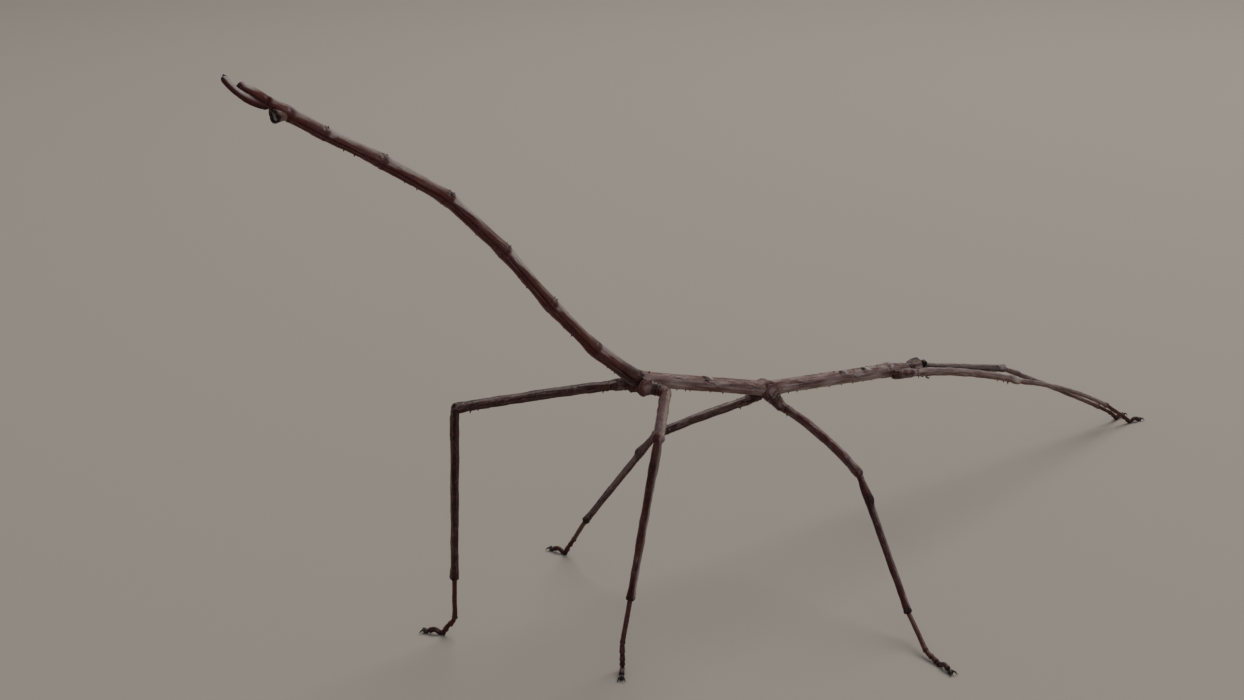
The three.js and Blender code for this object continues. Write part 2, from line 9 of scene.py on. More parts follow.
from bisect import bisect_right
from math import acos, atan2, cos, exp, hypot, inf, pi, radians, sin, sqrt
from random import Random
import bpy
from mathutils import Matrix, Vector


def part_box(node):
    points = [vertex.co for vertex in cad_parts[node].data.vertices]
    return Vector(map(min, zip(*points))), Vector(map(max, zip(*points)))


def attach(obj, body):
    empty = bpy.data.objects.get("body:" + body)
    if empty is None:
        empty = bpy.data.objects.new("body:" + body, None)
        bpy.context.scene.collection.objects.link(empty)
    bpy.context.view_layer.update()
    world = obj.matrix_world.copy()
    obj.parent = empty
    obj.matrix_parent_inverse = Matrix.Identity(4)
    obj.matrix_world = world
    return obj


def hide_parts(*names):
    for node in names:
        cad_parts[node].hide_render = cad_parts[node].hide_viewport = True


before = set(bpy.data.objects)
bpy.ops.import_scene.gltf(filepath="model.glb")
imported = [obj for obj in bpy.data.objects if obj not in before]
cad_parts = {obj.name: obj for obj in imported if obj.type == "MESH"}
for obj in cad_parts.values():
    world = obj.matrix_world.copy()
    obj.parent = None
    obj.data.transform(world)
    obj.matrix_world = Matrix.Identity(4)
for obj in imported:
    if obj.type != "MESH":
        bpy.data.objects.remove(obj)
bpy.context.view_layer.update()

from types import SimpleNamespace

import bmesh
import bpy
from bpy.props import FloatProperty, FloatVectorProperty, IntProperty, PointerProperty
from bpy.types import Operator, Panel, PropertyGroup
from mathutils import Matrix, Quaternion, Vector, noise

bl_info = {
    "name": "Stick Insect",
    "version": (1, 0, 0),
    "blender": (4, 5, 0),
    "location": "3D View > Sidebar > Stick Insect",
    "description": "Builds the looks of a male stick insect around its packed solids",
    "category": "Object",
}

MM = 0.001
UP = Vector((0, 0, 1))
LEFT = Vector((0, 1, 0))
FULL_TURN = 2 * pi

# ---- Sizes in millimetres, as in the solids --------------------------------------------------

NECK = Vector((22.75, 0, 16.88))
NECK_RADIUS = 0.6
# The trunk from the neck backwards: name, length, rise towards the tail in degrees, radius at the
# waist and at the rear joint, and how pale the saddle on its rear half is, on the abdomen only.
TRUNK = (
    ("prothorax", 3.83, 8.5, 0.74, 0.80, None),
    ("mesothorax", 19.4, 6.7, 0.77, 0.86, None),
    ("metathorax", 18.78, 15.7, 0.76, 0.84, None),
    ("abdomen_2", 6.9, 38.4, 0.75, 0.76, 0.5),
    ("abdomen_3", 7.38, 45.6, 0.66, 0.72, 0.6),
    ("abdomen_4", 7.94, 48.8, 0.62, 0.69, 0.95),
    ("abdomen_5", 8.12, 43.6, 0.62, 0.69, 1.0),
    ("abdomen_6", 7.72, 31.9, 0.60, 0.64, 0.6),
    ("abdomen_7", 6.17, 29.1, 0.54, 0.58, 0.65),
    ("abdomen_8", 3.6, 31.0, 0.57, 0.60, 0.5),
    ("abdomen_9", 2.3, 32.9, 0.38, 0.46, 0.25),
    ("abdomen_10", 2.75, 34.3, 0.45, 0.30, 0.6),
)
TAIL_END = ("abdomen_9", "abdomen_10")
TRUNK_START = -0.35  # the trunk's skin starts inside the head
NODE_REACH = 1.1  # how far a swollen joint reaches along the trunk
BEND_REACH = 0.9  # how far each side of a joint the trunk's line is rounded
BEND_STEPS = 8

HEAD_LENGTH = 3.6
HEAD_DROOP = 14
HEAD_BACK = 0.3  # how far the head's skin runs back into the prothorax
EYE_PLACE = Vector((2.15, 0.68, 0.27))  # from the neck: ahead, out and above
RIM_SUNK = Vector((0.02, 0.16, 0.02))
FEELER_ROOT = Vector((2.9, 0.34, -0.25))
FEELER_SUNK = Vector((-0.55, -0.10, 0.10))  # from its root into the head
FEELER_DROOP = 14.2
FEELER_OUT = 0.31  # its tip, from the middle
FEELER_JOINTS = [0.0, 1.25, 1.65] + [2.25 + 0.72 * i for i in range(19)]

# Sizes of both legs of a pair, in the order of PAIRS.
PAIRS = ("fore", "mid", "hind")
PAIR_SIZES = {
    "root": ((19.4, 0.62, 17.1), (-0.3, 0.5, 19.4), (-17.8, 0.5, 24.2)),
    "coxa_length": (2.65, 2.0, 2.2),
    "femur_length": (21.4, 12.3, 18.2),
    "tibia_length": (21.7, 14.4, 18.8),
    "basitarsus_length": (3.3, 4.7, 4.9),
    "coxa_radius": (0.56, 0.7616, 0.6708),
    "elbow_radius": (0.46, 0.50, 0.58),
    "femur_radius": (0.38, 0.45, 0.45),
    "femur_wide": (0.9, 0.9, 1.18),
    "femur_crest": (0.13, 0.03, 0.03),
    "tibia_radius": (0.29, 0.33, 0.39),
    "tibia_lobe": (0.06, 0.2, 0.04),
    "tone": (0.1, 0, -0.08),  # how much lighter the legs are
}
TROCHANTER_RADIUS = 0.48
LOBE_PLACE = 2.8  # from the knee
TARSUS_RADIUS = 0.27
TARSOMERES = 2.2  # the length of the three short segments of a foot
TARSAL_JOINTS = (0, 0.95, 1.75, TARSOMERES)
CLAW_SEGMENT = 1.4
SOLE_HEIGHT = TARSUS_RADIUS - 0.04
# Places along a foot's last segment: name, share of its length and height.
FOOT_PLACES = (("sole", 0, SOLE_HEIGHT), ("arch", 0.5, 0.52), ("toe", 1, 0.32))
PAD_RADIUS = 0.28
PAD_HEIGHT = 0.245
PAD_AHEAD = 0.26  # from the toe
CLAW_SPREAD = 0.6  # radians each side of the foot's line

# The pose of each leg: (bearing, elevation) of its lengths in degrees, the bearing of its foot,
# and how far the middles of femur and tibia bow upwards. Then its tints: how dark its femur and
# its tibia are, and how red it is.
LEG_FIELDS = ("pair", "side", "coxa", "femur", "tibia", "basitarsus", "foot", "bow", "dark", "red")
LEGS = (
    ("fore", "right", (-12, -6.4), (0.3, -15.3), (0.4, -21.3), (-9, -33), -12, (0.5, 0.6),
     (0, 0), 0.05),
    ("fore", "left", (12, -4.3), (0.1, -12.9), (-3.3, -25), (0, -28), 5, (0.05, 0.1),
     (0.15, 0), 0.05),
    ("mid", "right", (-61.5, -43.6), (-94.6, -18.3), (-101.2, -53.5), (-116.1, -24.5), -104.5, (0.6, 0),
     (0.3, 0.6), 0.75),
    ("mid", "left", (123.7, -39.8), (175.1, -5.4), (104.9, -53.1), (73.1, -46.4), 104.7, (0.15, 0),
     (0.5, 0.45), 0.15),
    ("hind", "right", (-45, -21), (-134.8, 6.4), (72.5, -71.7), (107, -80), -134, (0, 0),
     (0.45, 0.45), 1.0),
    ("hind", "left", (134, -8.5), (174.9, 4.3), (63.7, -80), (60.7, -75.5), 125, (0.12, 0),
     (0.75, 0.65), 0.5),
)
# The knobs from which the rear pairs grow: half axes, and place and axis on the left side.
HIP_KNOBS = {
    "mid": ((1.0, 1.05, 0.62), (-0.35, 0.62, 19.62), (-0.1, 1, 0.15)),
    "hind": ((0.86, 0.90, 0.66), (-18.0, 0.78, 24.08), (-0.25, 1, 0.05)),
}
# Painted light: the flank of the reddest legs that faces this side is painted lighter, as where the light
# falls on them.
LIT_SIDE = Vector((0.75, -0.66, 0))  # the side on which the reddest legs are pale

TRUNK_SIDES = 80
LIMB_SIDES = 26
TRUNK_STEP = 0.19  # between rings along the trunk
LIMB_STEP = 0.22

# Lights: name, place in metres from the animal's middle, and colour.
LIGHTS = (("key", (0.42, 0.14, 0.7), "fff6ea"), ("fill", (-0.45, -0.55, 0.35), "eaf0ff"))
LIGHT_SIZE = 0.6
LIGHT_AIM = Vector((0, 0, 0.03))
ROOM_COLOUR = "eceef2"
CAMERA_PLACE = Vector((-125.0, -118.6, 78.55))
CAMERA_BEARING = 48.55
CAMERA_DOWN = 17.67
SENSOR_WIDTH = 36
CLIP_START = 0.005

# ---- Small helpers ---------------------------------------------------------------------------


def linear(hex_colour):
    """The linear red, green and blue of an sRGB hex colour such as '6b5850'."""
    channels = [int(hex_colour[i:i + 2], 16) / 255 for i in (0, 2, 4)]
    return tuple(c / 12.92 if c <= 0.04045 else ((c + 0.055) / 1.055) ** 2.4 for c in channels)


def heading(bearing, elevation):
    """The unit vector at a bearing and an elevation, both in degrees."""
    turn, lift = radians(bearing), radians(elevation)
    return Vector((cos(lift) * cos(turn), cos(lift) * sin(turn), sin(lift)))


def square_to(axis, vector):
    """The part of `vector` square to the unit vector `axis`, as a unit vector."""
    return (vector - axis * vector.dot(axis)).normalized()


def mirrored(place, side):
    """A place on the left where `side` is 1, or its mirror image on the right where it is -1."""
    return Vector((place[0], side * place[1], place[2]))


def swelling(distance, reach):
    """A swelling of height 1 at distance 0 that dies away over `reach`."""
    return exp(-((distance / reach) ** 2))


def ridges(x, *rows):
    """The sum at x of ridges."""
    return sum(height * swelling(x - place, reach) for height, place, reach in rows)


def keels(a, radius, rows):
    """The sum at an angle of ridges that run along a limb, their places given as angles."""
    return sum(height * swelling((a - place) * radius, reach) for height, place, reach in rows)


def smooth(value, low, high):
    """0 below `low`, 1 above `high`, and a smooth step between."""
    share = min(1.0, max(0.0, (value - low) / (high - low)))
    return share * share * (3 - 2 * share)


def between(value, begin, full, fade, gone):
    """1 from `full` to `fade`, and 0 before `begin` and after `gone`."""
    return smooth(value, begin, full) * smooth(gone - value, 0, gone - fade)


def upward(a):
    """1 on a limb's upper side, 0 on its lower side."""
    return 0.5 + 0.5 * cos(a)


def tint(dark, pale, red, tone):
    """A point's marks, each kept from 0 to 1: darkened, paled, reddened, and how much of a back, which also
    paints the upper side lighter as lit from above.
    """
    return min(1, dark), min(1, pale), min(1, red), min(1, max(0, tone))


UNMARKED = (0, 0, 0, 0.5)


def unmarked(s, a):
    """The marks of horny pieces, whose material reads none."""
    return UNMARKED


def wobble(x, y, z):
    """Smooth noise from -1 to 1."""
    return noise.noise(Vector((x, y, z)))


def ring_wobble(x, a, reach):
    """Smooth noise that closes round a limb."""
    return wobble(x, reach * sin(a), reach * cos(a))


def patchy(s, a, along, around, seed=0.0):
    """Noise from 0 to 1 in patches `along` mm long on a limb and narrower as `around` grows."""
    return min(1.0, max(0.0, 0.5 + 0.9 * ring_wobble(s / along + seed, a, around)))


def bark(s, a, radius, seed):
    """Height in mm of the cuticle's lengthwise furrows, low lumps and grains."""
    return (0.040 * ring_wobble(0.45 * s + seed, a, 4.2 * radius)
            + 0.045 * ring_wobble(0.8 * s - seed, a, 1.1 * radius)
            + 0.022 * ring_wobble(3.0 * s + seed, a, 3.2 * radius))


class Line:
    """A smooth line through close points, read by the distance along it."""

    def __init__(self, points):
        self.points = points
        self.places = [0.0]
        for near, far in zip(points, points[1:]):
            self.places.append(self.places[-1] + (far - near).length)
        self.length = self.places[-1]

    def point(self, s):
        at = min(max(bisect_right(self.places, s) - 1, 0), len(self.points) - 2)
        share = (s - self.places[at]) / (self.places[at + 1] - self.places[at])
        return self.points[at].lerp(self.points[at + 1], share)

    def direction(self, s, reach=0.2):
        return (self.point(s + reach) - self.point(s - reach)).normalized()


def curve(start, middle, end, count=60):
    """A line along a quadratic curve."""
    shares = [i / count for i in range(count + 1)]
    return Line([start * (1 - t) ** 2 + middle * (2 * t * (1 - t)) + end * t * t for t in shares])


def bowed(start, end, bow=0.0, before=0.0, after=0.0):
    """A line whose middle stands `bow` above the straight one, run on past both ends."""
    ahead = (end - start).normalized()
    middle = start.lerp(end, 0.5) + square_to(ahead, UP) * (2 * bow)
    return curve(start - ahead * before, middle, end + ahead * after)


def through(stops, count=14):
    """A line curving through a few points."""
    ends = [2 * stops[0] - stops[1], *stops, 2 * stops[-1] - stops[-2]]
    points = []
    for a, b, c, d in zip(ends, ends[1:], ends[2:], ends[3:]):
        for i in range(count):
            t = i / count
            points.append(0.5 * (2 * b + (c - a) * t + (2 * a - 5 * b + 4 * c - d) * t ** 2
                                 + (3 * b - a - 3 * c + d) * t ** 3))
    return Line(points + [stops[-1]])


# ---- Meshes ----------------------------------------------------------------------------------


def new_object(name, bm):
    """An object in the scene that holds the finished bmesh."""
    mesh = bpy.data.meshes.new(name)
    bm.to_mesh(mesh)
    bm.free()
    made = bpy.data.objects.new(name, mesh)
    bpy.context.scene.collection.objects.link(made)
    return made


def skin_layers(bm):
    """New layers for each vertex's place on its limb and for its marks."""
    bm.verts.layers.float_vector.new("place")
    bm.verts.layers.float_color.new("mark")
    return bm.verts.layers.float_vector["place"], bm.verts.layers.float_color["mark"]


def skin_object(name, bm, places, marks):
    """An object of skin: its vertices' places and marks go to the face corners around them."""
    bmesh.ops.recalc_face_normals(bm, faces=bm.faces)
    place_layer = bm.loops.layers.float_vector.new("limb")
    mark_layer = bm.loops.layers.float_color.new("marks")
    for face in bm.faces:
        for corner in face.loops:
            corner[place_layer] = corner.vert[places]
            corner[mark_layer] = corner.vert[marks]
    bm.verts.layers.float_vector.remove(bm.verts.layers.float_vector["place"])
    bm.verts.layers.float_color.remove(bm.verts.layers.float_color["mark"])
    return new_object(name, bm)


def stations(length, step, dome, end_rings=6):
    """Distances along a tube: even in the middle and closer together over its round ends."""
    turns = [pi / 2 * i / end_rings for i in range(end_rings + 1)]
    inset = [dome * (1 - cos(turn)) for turn in turns]
    count = max(2, round((length - 2 * dome) / step))
    middle = [dome + (length - 2 * dome) * i / count for i in range(1, count)]
    return inset + middle + [length - x for x in reversed(inset)]


def tube(name, line, radius, paint=unmarked, sides=LIMB_SIDES, step=LIMB_STEP, wide=1.0, high=1.0,
         up=UP, dome=0.35, begin=0.0):
    """A closed tube of skin with round ends along `line`, from radius(s, a) in mm and paint(s, a).

    `begin` is where its pattern starts, so that limbs differ.
    """
    rings = stations(line.length, step, dome)
    bm = bmesh.new()
    bmesh.ops.create_grid(bm, x_segments=len(rings) - 1, y_segments=sides, size=1)
    places, marks = skin_layers(bm)
    frames = []
    for s in rings:
        forward = line.direction(s)
        dorsal = square_to(forward, up)
        inset = min(1.0, min(s, line.length - s) / dome)
        closing = sqrt(max(0.0, 1 - (1 - inset) ** 2))
        frames.append((s, line.point(s), forward.cross(dorsal), dorsal, closing))
    for vert in bm.verts:
        ring = round((vert.co.x + 1) / 2 * (len(rings) - 1))
        s, point, lateral, dorsal, closing = frames[ring]
        a = pi * vert.co.y
        reach = radius(s, a) * closing
        across, over = reach * sin(a) * wide, reach * cos(a) * high
        vert.co = point + lateral * across + dorsal * over
        vert[places] = (begin + s, across, over)
        vert[marks] = paint(s, a)
    bmesh.ops.remove_doubles(bm, verts=bm.verts, dist=1e-5)
    return skin_object(name, bm, places, marks)


def ball(name, size, reach, paint, segments=32, rings=20):
    """A ball of skin with half axes `size`, scaled by reach(direction)."""
    bm = bmesh.new()
    bmesh.ops.create_uvsphere(bm, u_segments=segments, v_segments=rings, radius=1)
    places, marks = skin_layers(bm)
    for vert in bm.verts:
        direction = vert.co.copy()
        vert.co = Vector([part * half for part, half in zip(direction, size)]) * reach(direction)
        vert[places] = vert.co
        vert[marks] = paint(direction)
    return skin_object(name, bm, places, marks)


def put(made, centre, axis=UP):
    """Moves a piece's mesh so that its own Z lies along `axis` from `centre`."""
    turned = axis.to_track_quat("Z", "Y").to_matrix().to_4x4()
    made.data.transform(Matrix.Translation(centre) @ turned)
    return made


THORN_MARKS = (0.85, 0, 0.2, 0.4)
THORN_SIDES = 8
THORN_TIP = 0.14  # a thorn's radius at its tip, as a share of that at its root


def thorns(name, spikes):
    """Cones as one object; each is (root, direction, height, radius), sunk into what bears it."""
    bm = bmesh.new()
    places, marks = skin_layers(bm)
    for root, direction, height, radius in spikes:
        sunk = 0.4 * radius + 0.1
        turned = direction.to_track_quat("Z", "Y").to_matrix().to_4x4()
        middle = root + direction * ((height - sunk) / 2)
        made = bmesh.ops.create_cone(
            bm, cap_ends=True, cap_tris=True, segments=THORN_SIDES, radius1=radius,
            radius2=THORN_TIP * radius, depth=height + sunk, matrix=Matrix.Translation(middle) @ turned,
        )
        for vert in made["verts"]:
            vert[places] = vert.co
            vert[marks] = THORN_MARKS
    return skin_object(name, bm, places, marks)


def set_on_floor(made):
    """Flattens the soles where they stand."""
    for vert in made.data.vertices:
        vert.co.z = max(vert.co.z, 0.0)


def unite(whole, *parts):
    """Joins closed parts to `whole` as one closed skin."""
    for part in parts:
        union = whole.modifiers.new("union", "BOOLEAN")
        union.operation = "UNION"
        union.solver = "MANIFOLD"
        union.object = part
        evaluated = whole.evaluated_get(bpy.context.evaluated_depsgraph_get())
        mesh, used = bpy.data.meshes.new_from_object(evaluated), whole.data
        whole.modifiers.clear()
        whole.data = mesh
        bpy.data.meshes.remove(used)
        bpy.data.objects.remove(part)
    return whole


def shift():
    """Where the animal's own frame stands in the solids' frame, in mm, read from the eyes."""
    centres = [(low + high) / 2 for low, high in (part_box("eye_left"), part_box("eye_right"))]
    middle = (centres[0] + centres[1]) / (2 * MM)
    return middle - NECK - Vector((EYE_PLACE.x, 0, EYE_PLACE.z))


SHIFT = shift()


def drop_scraps(bm):
    """Deletes what a union leaves over: faces back to back on the same corners, loose points."""
    on_corners = {}
    for face in bm.faces:
        on_corners.setdefault(frozenset(face.verts), []).append(face)
    scraps = [face for faces in on_corners.values() if len(faces) > 1 for face in faces]
    bmesh.ops.delete(bm, geom=scraps, context="FACES")
    loose = [vert for vert in bm.verts if not vert.link_faces]
    bmesh.ops.delete(bm, geom=loose, context="VERTS")


SHARPEST_SMOOTH = 0.9  # radians between faces, above which their edge stays sharp


def finished(made, replaced, material):
    bm = bmesh.new()
    bm.from_mesh(made.data)
    bmesh.ops.dissolve_degenerate(bm, dist=1e-4, edges=bm.edges)
    drop_scraps(bm)
    bmesh.ops.transform(bm, matrix=Matrix.Scale(MM, 4) @ Matrix.Translation(SHIFT), verts=bm.verts)
    for face in bm.faces:
        face.smooth = True
    for edge in bm.edges:
        if len(edge.link_faces) != 2:
            raise RuntimeError(f"{made.name} isn't closed near {tuple(edge.verts[0].co)}")
        edge.smooth = edge.calc_face_angle(0) < SHARPEST_SMOOTH
    bm.to_mesh(made.data)
    bm.free()
    made.data.materials.clear()
    made.data.materials.append(material)
    if replaced:
        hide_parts(*replaced)
    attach(made, "root")
    return made


# ---- Trunk -----------------------------------------------------------------------------------


def lay_trunk():
    """Each trunk piece's place along the body, front to rear."""
    laid, start, front, begun = [], NECK, NECK_RADIUS, 0.0
    for name, length, rise, waist, rear, saddle in TRUNK:
        ahead = heading(180, rise)
        laid.append(SimpleNamespace(
            name=name, length=length, start=start, end=start + ahead * length, ahead=ahead, begun=begun,
            front=front, waist=waist, rear=rear, saddle=saddle, dorsal=square_to(ahead, UP),
        ))
        start, front, begun = laid[-1].end, rear, begun + length
    return laid


BODY = lay_trunk()
PIECES = {piece.name: piece for piece in BODY}


def trunk_line():
    """The trunk's line from inside the head to the tail, rounded at the joints."""
    points = [BODY[0].start + BODY[0].ahead * TRUNK_START]
    for piece, following in zip(BODY, BODY[1:]):
        reach = min(BEND_REACH, piece.length / 2, following.length / 2)
        for i in range(-BEND_STEPS, BEND_STEPS + 1):
            x = reach * i / BEND_STEPS
            points.append(piece.end - piece.ahead * ((reach - x) ** 2 / (4 * reach))
                          + following.ahead * ((reach + x) ** 2 / (4 * reach)))
    return Line(points + [BODY[-1].end])


def trunk_piece(s):
    """The trunk piece at distance s from the neck, and the distances to its front and rear."""
    for piece in BODY:
        if s < piece.begun + piece.length:
            break
    d = s - piece.begun
    return piece, d, piece.length - d


def plain_radius(piece, d, e):
    """A trunk piece's radius: a waist between two swollen joints."""
    return (piece.waist + (piece.front - piece.waist) * swelling(d, NODE_REACH)
            + (piece.rear - piece.waist) * swelling(e, NODE_REACH))


# The low rim, crack and rings ahead of a joint and behind it, in mm from the joint.
RIM_AHEAD = ((0.055, 0.22, 0.16), (-0.080, 0, 0.07))
RINGS_BEHIND = ((0.040, 0.34, 0.11), (0.030, 0.74, 0.12), (-0.060, 0.55, 0.06), (-0.080, 0, 0.07))
# Ridges and creases along the trunk, their places in radians from the back. The back plates meet
# the side plates at SIDE_CREASE.
SIDE_CREASE = 2.05
BELLY_CREASE = 2.55
ABDOMEN_KEELS = (
    (0.045, SIDE_CREASE - 0.20, 0.09), (-0.070, SIDE_CREASE, 0.07), (-0.050, BELLY_CREASE, 0.07),
    (-0.020, 1.0, 0.07),
)
THORAX_CREASE = 1.45
THORAX_KEELS = ((0.045, 1.75, 0.09), (-0.040, THORAX_CREASE, 0.07))
# Features of the thorax's back: piece, distance behind its front, and angle. A knob adds the
# radius of its ring and its height, and a fold its half length.
KNOBS = (
    ("metathorax", 0.70, -0.95, 0.42, 0.10), ("metathorax", 0.70, 0.95, 0.42, 0.10),
    ("metathorax", 0.45, 0.05, 0.20, 0.16), ("prothorax", 3.35, -0.45, 0.22, 0.12),
    ("prothorax", 3.35, 0.45, 0.22, 0.12),
)
PITS = (
    ("mesothorax", 4.2, -0.50), ("mesothorax", 7.9, -0.55), ("mesothorax", 10.6, 0.70),
    ("metathorax", 5.2, 0.60), ("mesothorax", 2.4, 0.80), ("metathorax", 9.5, -0.35),
)
FOLDS = (
    ("metathorax", 13.8, -0.75, 1.3), ("metathorax", 15.6, -0.35, 0.9), ("metathorax", 3.0, -1.1, 1.2),
    ("mesothorax", 6.1, -1.35, 1.5), ("mesothorax", 15.0, -0.95, 1.6), ("metathorax", 8.8, -1.25, 1.9),
    ("metathorax", 12.0, 0.9, 1.6), ("mesothorax", 11.5, 1.1, 1.8),
)


def features(rows, piece, d, a, radius, reach):
    """A piece's features near d: how far d and a are past each, in mm, and its other sizes."""
    for name, place, angle, *rest in rows:
        if name == piece.name and abs(d - place) < reach(*rest):
            yield d - place, (a - angle) * radius, *rest


def fold_wave(past, d):
    """How far a fold wavers to one side."""
    return 0.22 * sin(1.9 * past) + 0.1 * sin(5.3 * d)


def joint_relief(s, a, d, e):
    """The relief about a joint, d behind one and e ahead of the next."""
    skew = 0.16 * wobble(1.5 * sin(a), 1.5 * cos(a), 0.2 * s)
    broken = 0.3 + 0.7 * patchy(s, a, 0.7, 1.7, 7)
    return broken * (ridges(e - skew, *RIM_AHEAD) + ridges(d + skew, *RINGS_BEHIND))


def back_relief(piece, d, a, radius):
    """Knobs, pits and folds on the thorax's back."""
    height = 0.0
    for past, off, ring, rise in features(KNOBS, piece, d, a, radius, lambda ring, rise: 3 * ring):
        height += rise * ridges(hypot(past, off), (1, ring, 0.13), (-0.4, 0, 0.14))
    for past, off in features(PITS, piece, d, a, radius, lambda: 0.8):
        height += ridges(hypot(past, off), (0.06, 0.34, 0.12), (-0.16, 0, 0.20))
    for past, off, half in features(FOLDS, piece, d, a, radius, lambda half: 1.5 * half):
        cut = ridges(off - fold_wave(past, d), (0.02, 0.12, 0.10), (-0.035, 0, 0.05))
        height += cut * swelling(past, half)
    return height


def trunk_relief(piece, s, d, e, a, radius):
    """How far the cuticle stands above the plain trunk, in mm."""
    side = abs(a)
    wavering = side + 0.10 * wobble(0.5 * s, 3.0 * a / (side + 0.01), 0)
    inside = smooth(min(d, e), 0.2, 0.9)  # away from the joints
    relief = back_relief(piece, d, a, radius)
    if piece.saddle:
        relief += joint_relief(s, a, d, e) * (0.4 if piece.length < 3 else 1.0)
        relief += keels(wavering, radius, ABDOMEN_KEELS) * inside + 0.025 * swelling(a * radius, 0.10)
        if piece.name in TAIL_END:
            relief += 0.10 * swelling(side - 2.3, 0.4)
    else:
        relief += 0.8 * joint_relief(s, a, d, e)
        relief += 0.035 * swelling(a * radius, 0.09) + keels(wavering, radius, THORAX_KEELS) * inside
        relief -= 0.020 * swelling((wavering - 0.35) * radius, 0.09) + 0.045 * smooth(side, 2.45, 2.9)
    if piece.name == "prothorax":
        relief -= 0.08 * swelling(d - 1.75, 0.14) * smooth(2.2 - side, 0, 0.6)
        relief += 0.05 * swelling(d - 3.2, 0.5) * swelling(side, 0.9)
    if piece.name == "mesothorax":
        relief += 0.05 * swelling(d - 0.9, 0.4) * smooth(2.0 - side, 0, 0.6)
    return relief


def trunk_radius(s, a):
    """The trunk's radius at distance s from the line's start and angle a from the back."""
    s += TRUNK_START
    piece, d, e = trunk_piece(max(s, 0))
    radius = plain_radius(piece, d, e)
    return radius + trunk_relief(piece, s, d, e, a, radius) + bark(s, a, radius, 5.0)


def thorax_marks(piece, d, e, a, dark, pale, ragged, coarse, streaky):
    """An even back with a dark crease along each side, scars, and pale flecks; its flanks are painted
    lighter with light bounced from the floor.
    """
    radius, side = piece.waist, abs(a)
    # Painted light: the flanks about the crease are painted lighter by light bounced up from the floor, and
    # the top a little lighter as lit from above.
    tone = 0.66 + 0.12 * cos(a) + 0.2 * (coarse - 0.5) + 0.18 * swelling(side - THORAX_CREASE, 0.6)
    pale += 0.25 * smooth(coarse, 0.5, 0.85) * (0.4 + 0.6 * streaky)
    dark += 0.45 * swelling((side - THORAX_CREASE) * radius, 0.08) * ragged
    dark += 0.25 * smooth(streaky, 0.72, 0.9) + 0.5 * smooth(side, 2.3, 2.7)
    dark += 0.15 * smooth(0.42 - coarse, 0, 0.2)
    for past, off in features(PITS, piece, d, a, radius, lambda: inf):
        dark += 2.0 * swelling(hypot(0.8 * past, off), 0.30)
        pale += 1.2 * swelling(hypot(past + 0.75, off - 0.05), 0.24)
    for past, off, half in features(FOLDS, piece, d, a, radius, lambda half: 2 * half):
        off -= fold_wave(past, d)
        dark += 0.7 * swelling(off, 0.06) * swelling(past, half)
        pale += 0.4 * swelling(off - 0.15, 0.12) * swelling(past, half)
    if piece.name == "prothorax":
        pale += 0.9 * swelling(d - 3.45, 0.25) * swelling(side - 0.45, 0.45)
        dark += 0.7 * swelling(d - 2.2, 0.7) * smooth(side, 1.0, 1.8) * coarse
    return dark, pale, 0.1 + 0.15 * smooth(0.6 - coarse, 0, 0.4), tone


def abdomen_marks(piece, d, e, a, dark, pale, ragged, coarse, streaky):
    """A pale saddle on each segment's rear half, maroon sides, dark creases."""
    radius, side, tone = piece.waist, abs(a), upward(a)
    dark += keels(side, radius, ((0.8, SIDE_CREASE, 0.08), (0.6, BELLY_CREASE, 0.08)))
    dark += 0.35 * smooth(tone, 0.5, 0.9) * smooth(d, 2.5, 0.5) * coarse
    ahead = e / piece.length  # share of the length left behind
    reach = 1.75 - 0.9 * min(1, 1.4 * ahead) + 0.3 * (ragged - 0.5)
    saddle = smooth(reach - side, -0.12, 0.18) * smooth(e, 0.15, 0.5) * smooth(1 - ahead, 0.25, 0.75)
    pale += piece.saddle * saddle * (0.55 + 0.45 * streaky)
    red = 0.75 * smooth(side, 0.9, 1.7) * (0.6 + 0.4 * coarse) * (1 - 0.5 * saddle)
    if piece.name in TAIL_END:
        dark = 0.5 * dark + 0.6 * swelling(e, 0.2) + 0.3 * smooth(side, 1.4, 2.0)
        red = 0.7 * (1 - saddle) + 0.5 * swelling(e, 0.35)
    if piece.name == "abdomen_2":
        dark += 0.5 * swelling(d - 0.4, 0.6) * ragged + 0.55 * smooth(4.2 - d, 0, 2)
    return dark, pale, red, tone


def trunk_marks(s, a):
    """The trunk's marks, dark at the joints."""
    s += TRUNK_START
    piece, d, e = trunk_piece(max(s, 0))
    noises = patchy(s, a, 1.1, 2.4), patchy(s, a, 2.6, 1.2, 3), patchy(s, a, 3.0, 5.0, 9)
    joint = swelling(e, 0.2) + ridges(d, (1, 0.1, 0.16), (0.7, 0.55, 0.09))
    dark = joint * (0.35 + 0.6 * smooth(upward(a), 0.3, 0.8)) * (0.4 + 0.6 * noises[0])
    pale = 0.5 * swelling(d - 0.34, 0.12) * smooth(sin(5 * a + 1), 0.4, 0.9)
    pale *= smooth(upward(a), 0.25, 0.6)
    own_marks = abdomen_marks if piece.saddle else thorax_marks
    dark, pale, red, tone = own_marks(piece, d, e, a, dark, pale, *noises)
    return tint(dark, min(1, pale) * (1 - 0.7 * min(1, dark)), red, tone)


def trunk_spike(name, share, around, height, radius):
    """A spike on a trunk piece: `share` of the way along it and `around` radians from the back."""
    piece = PIECES[name]
    out = piece.dorsal * cos(around) + LEFT * sin(around)
    d = share * piece.length
    stand = 0.93 * plain_radius(piece, d, piece.length - d)
    return piece.start + piece.ahead * d + out * stand, out, height, radius


# Teeth under the thorax, as shares of a piece's length.
TEETH = {
    "mesothorax": (0.145, 0.22, 0.31, 0.40, 0.51, 0.61, 0.69, 0.77, 0.84),
    "metathorax": (0.365, 0.46, 0.62, 0.655, 0.72),
}
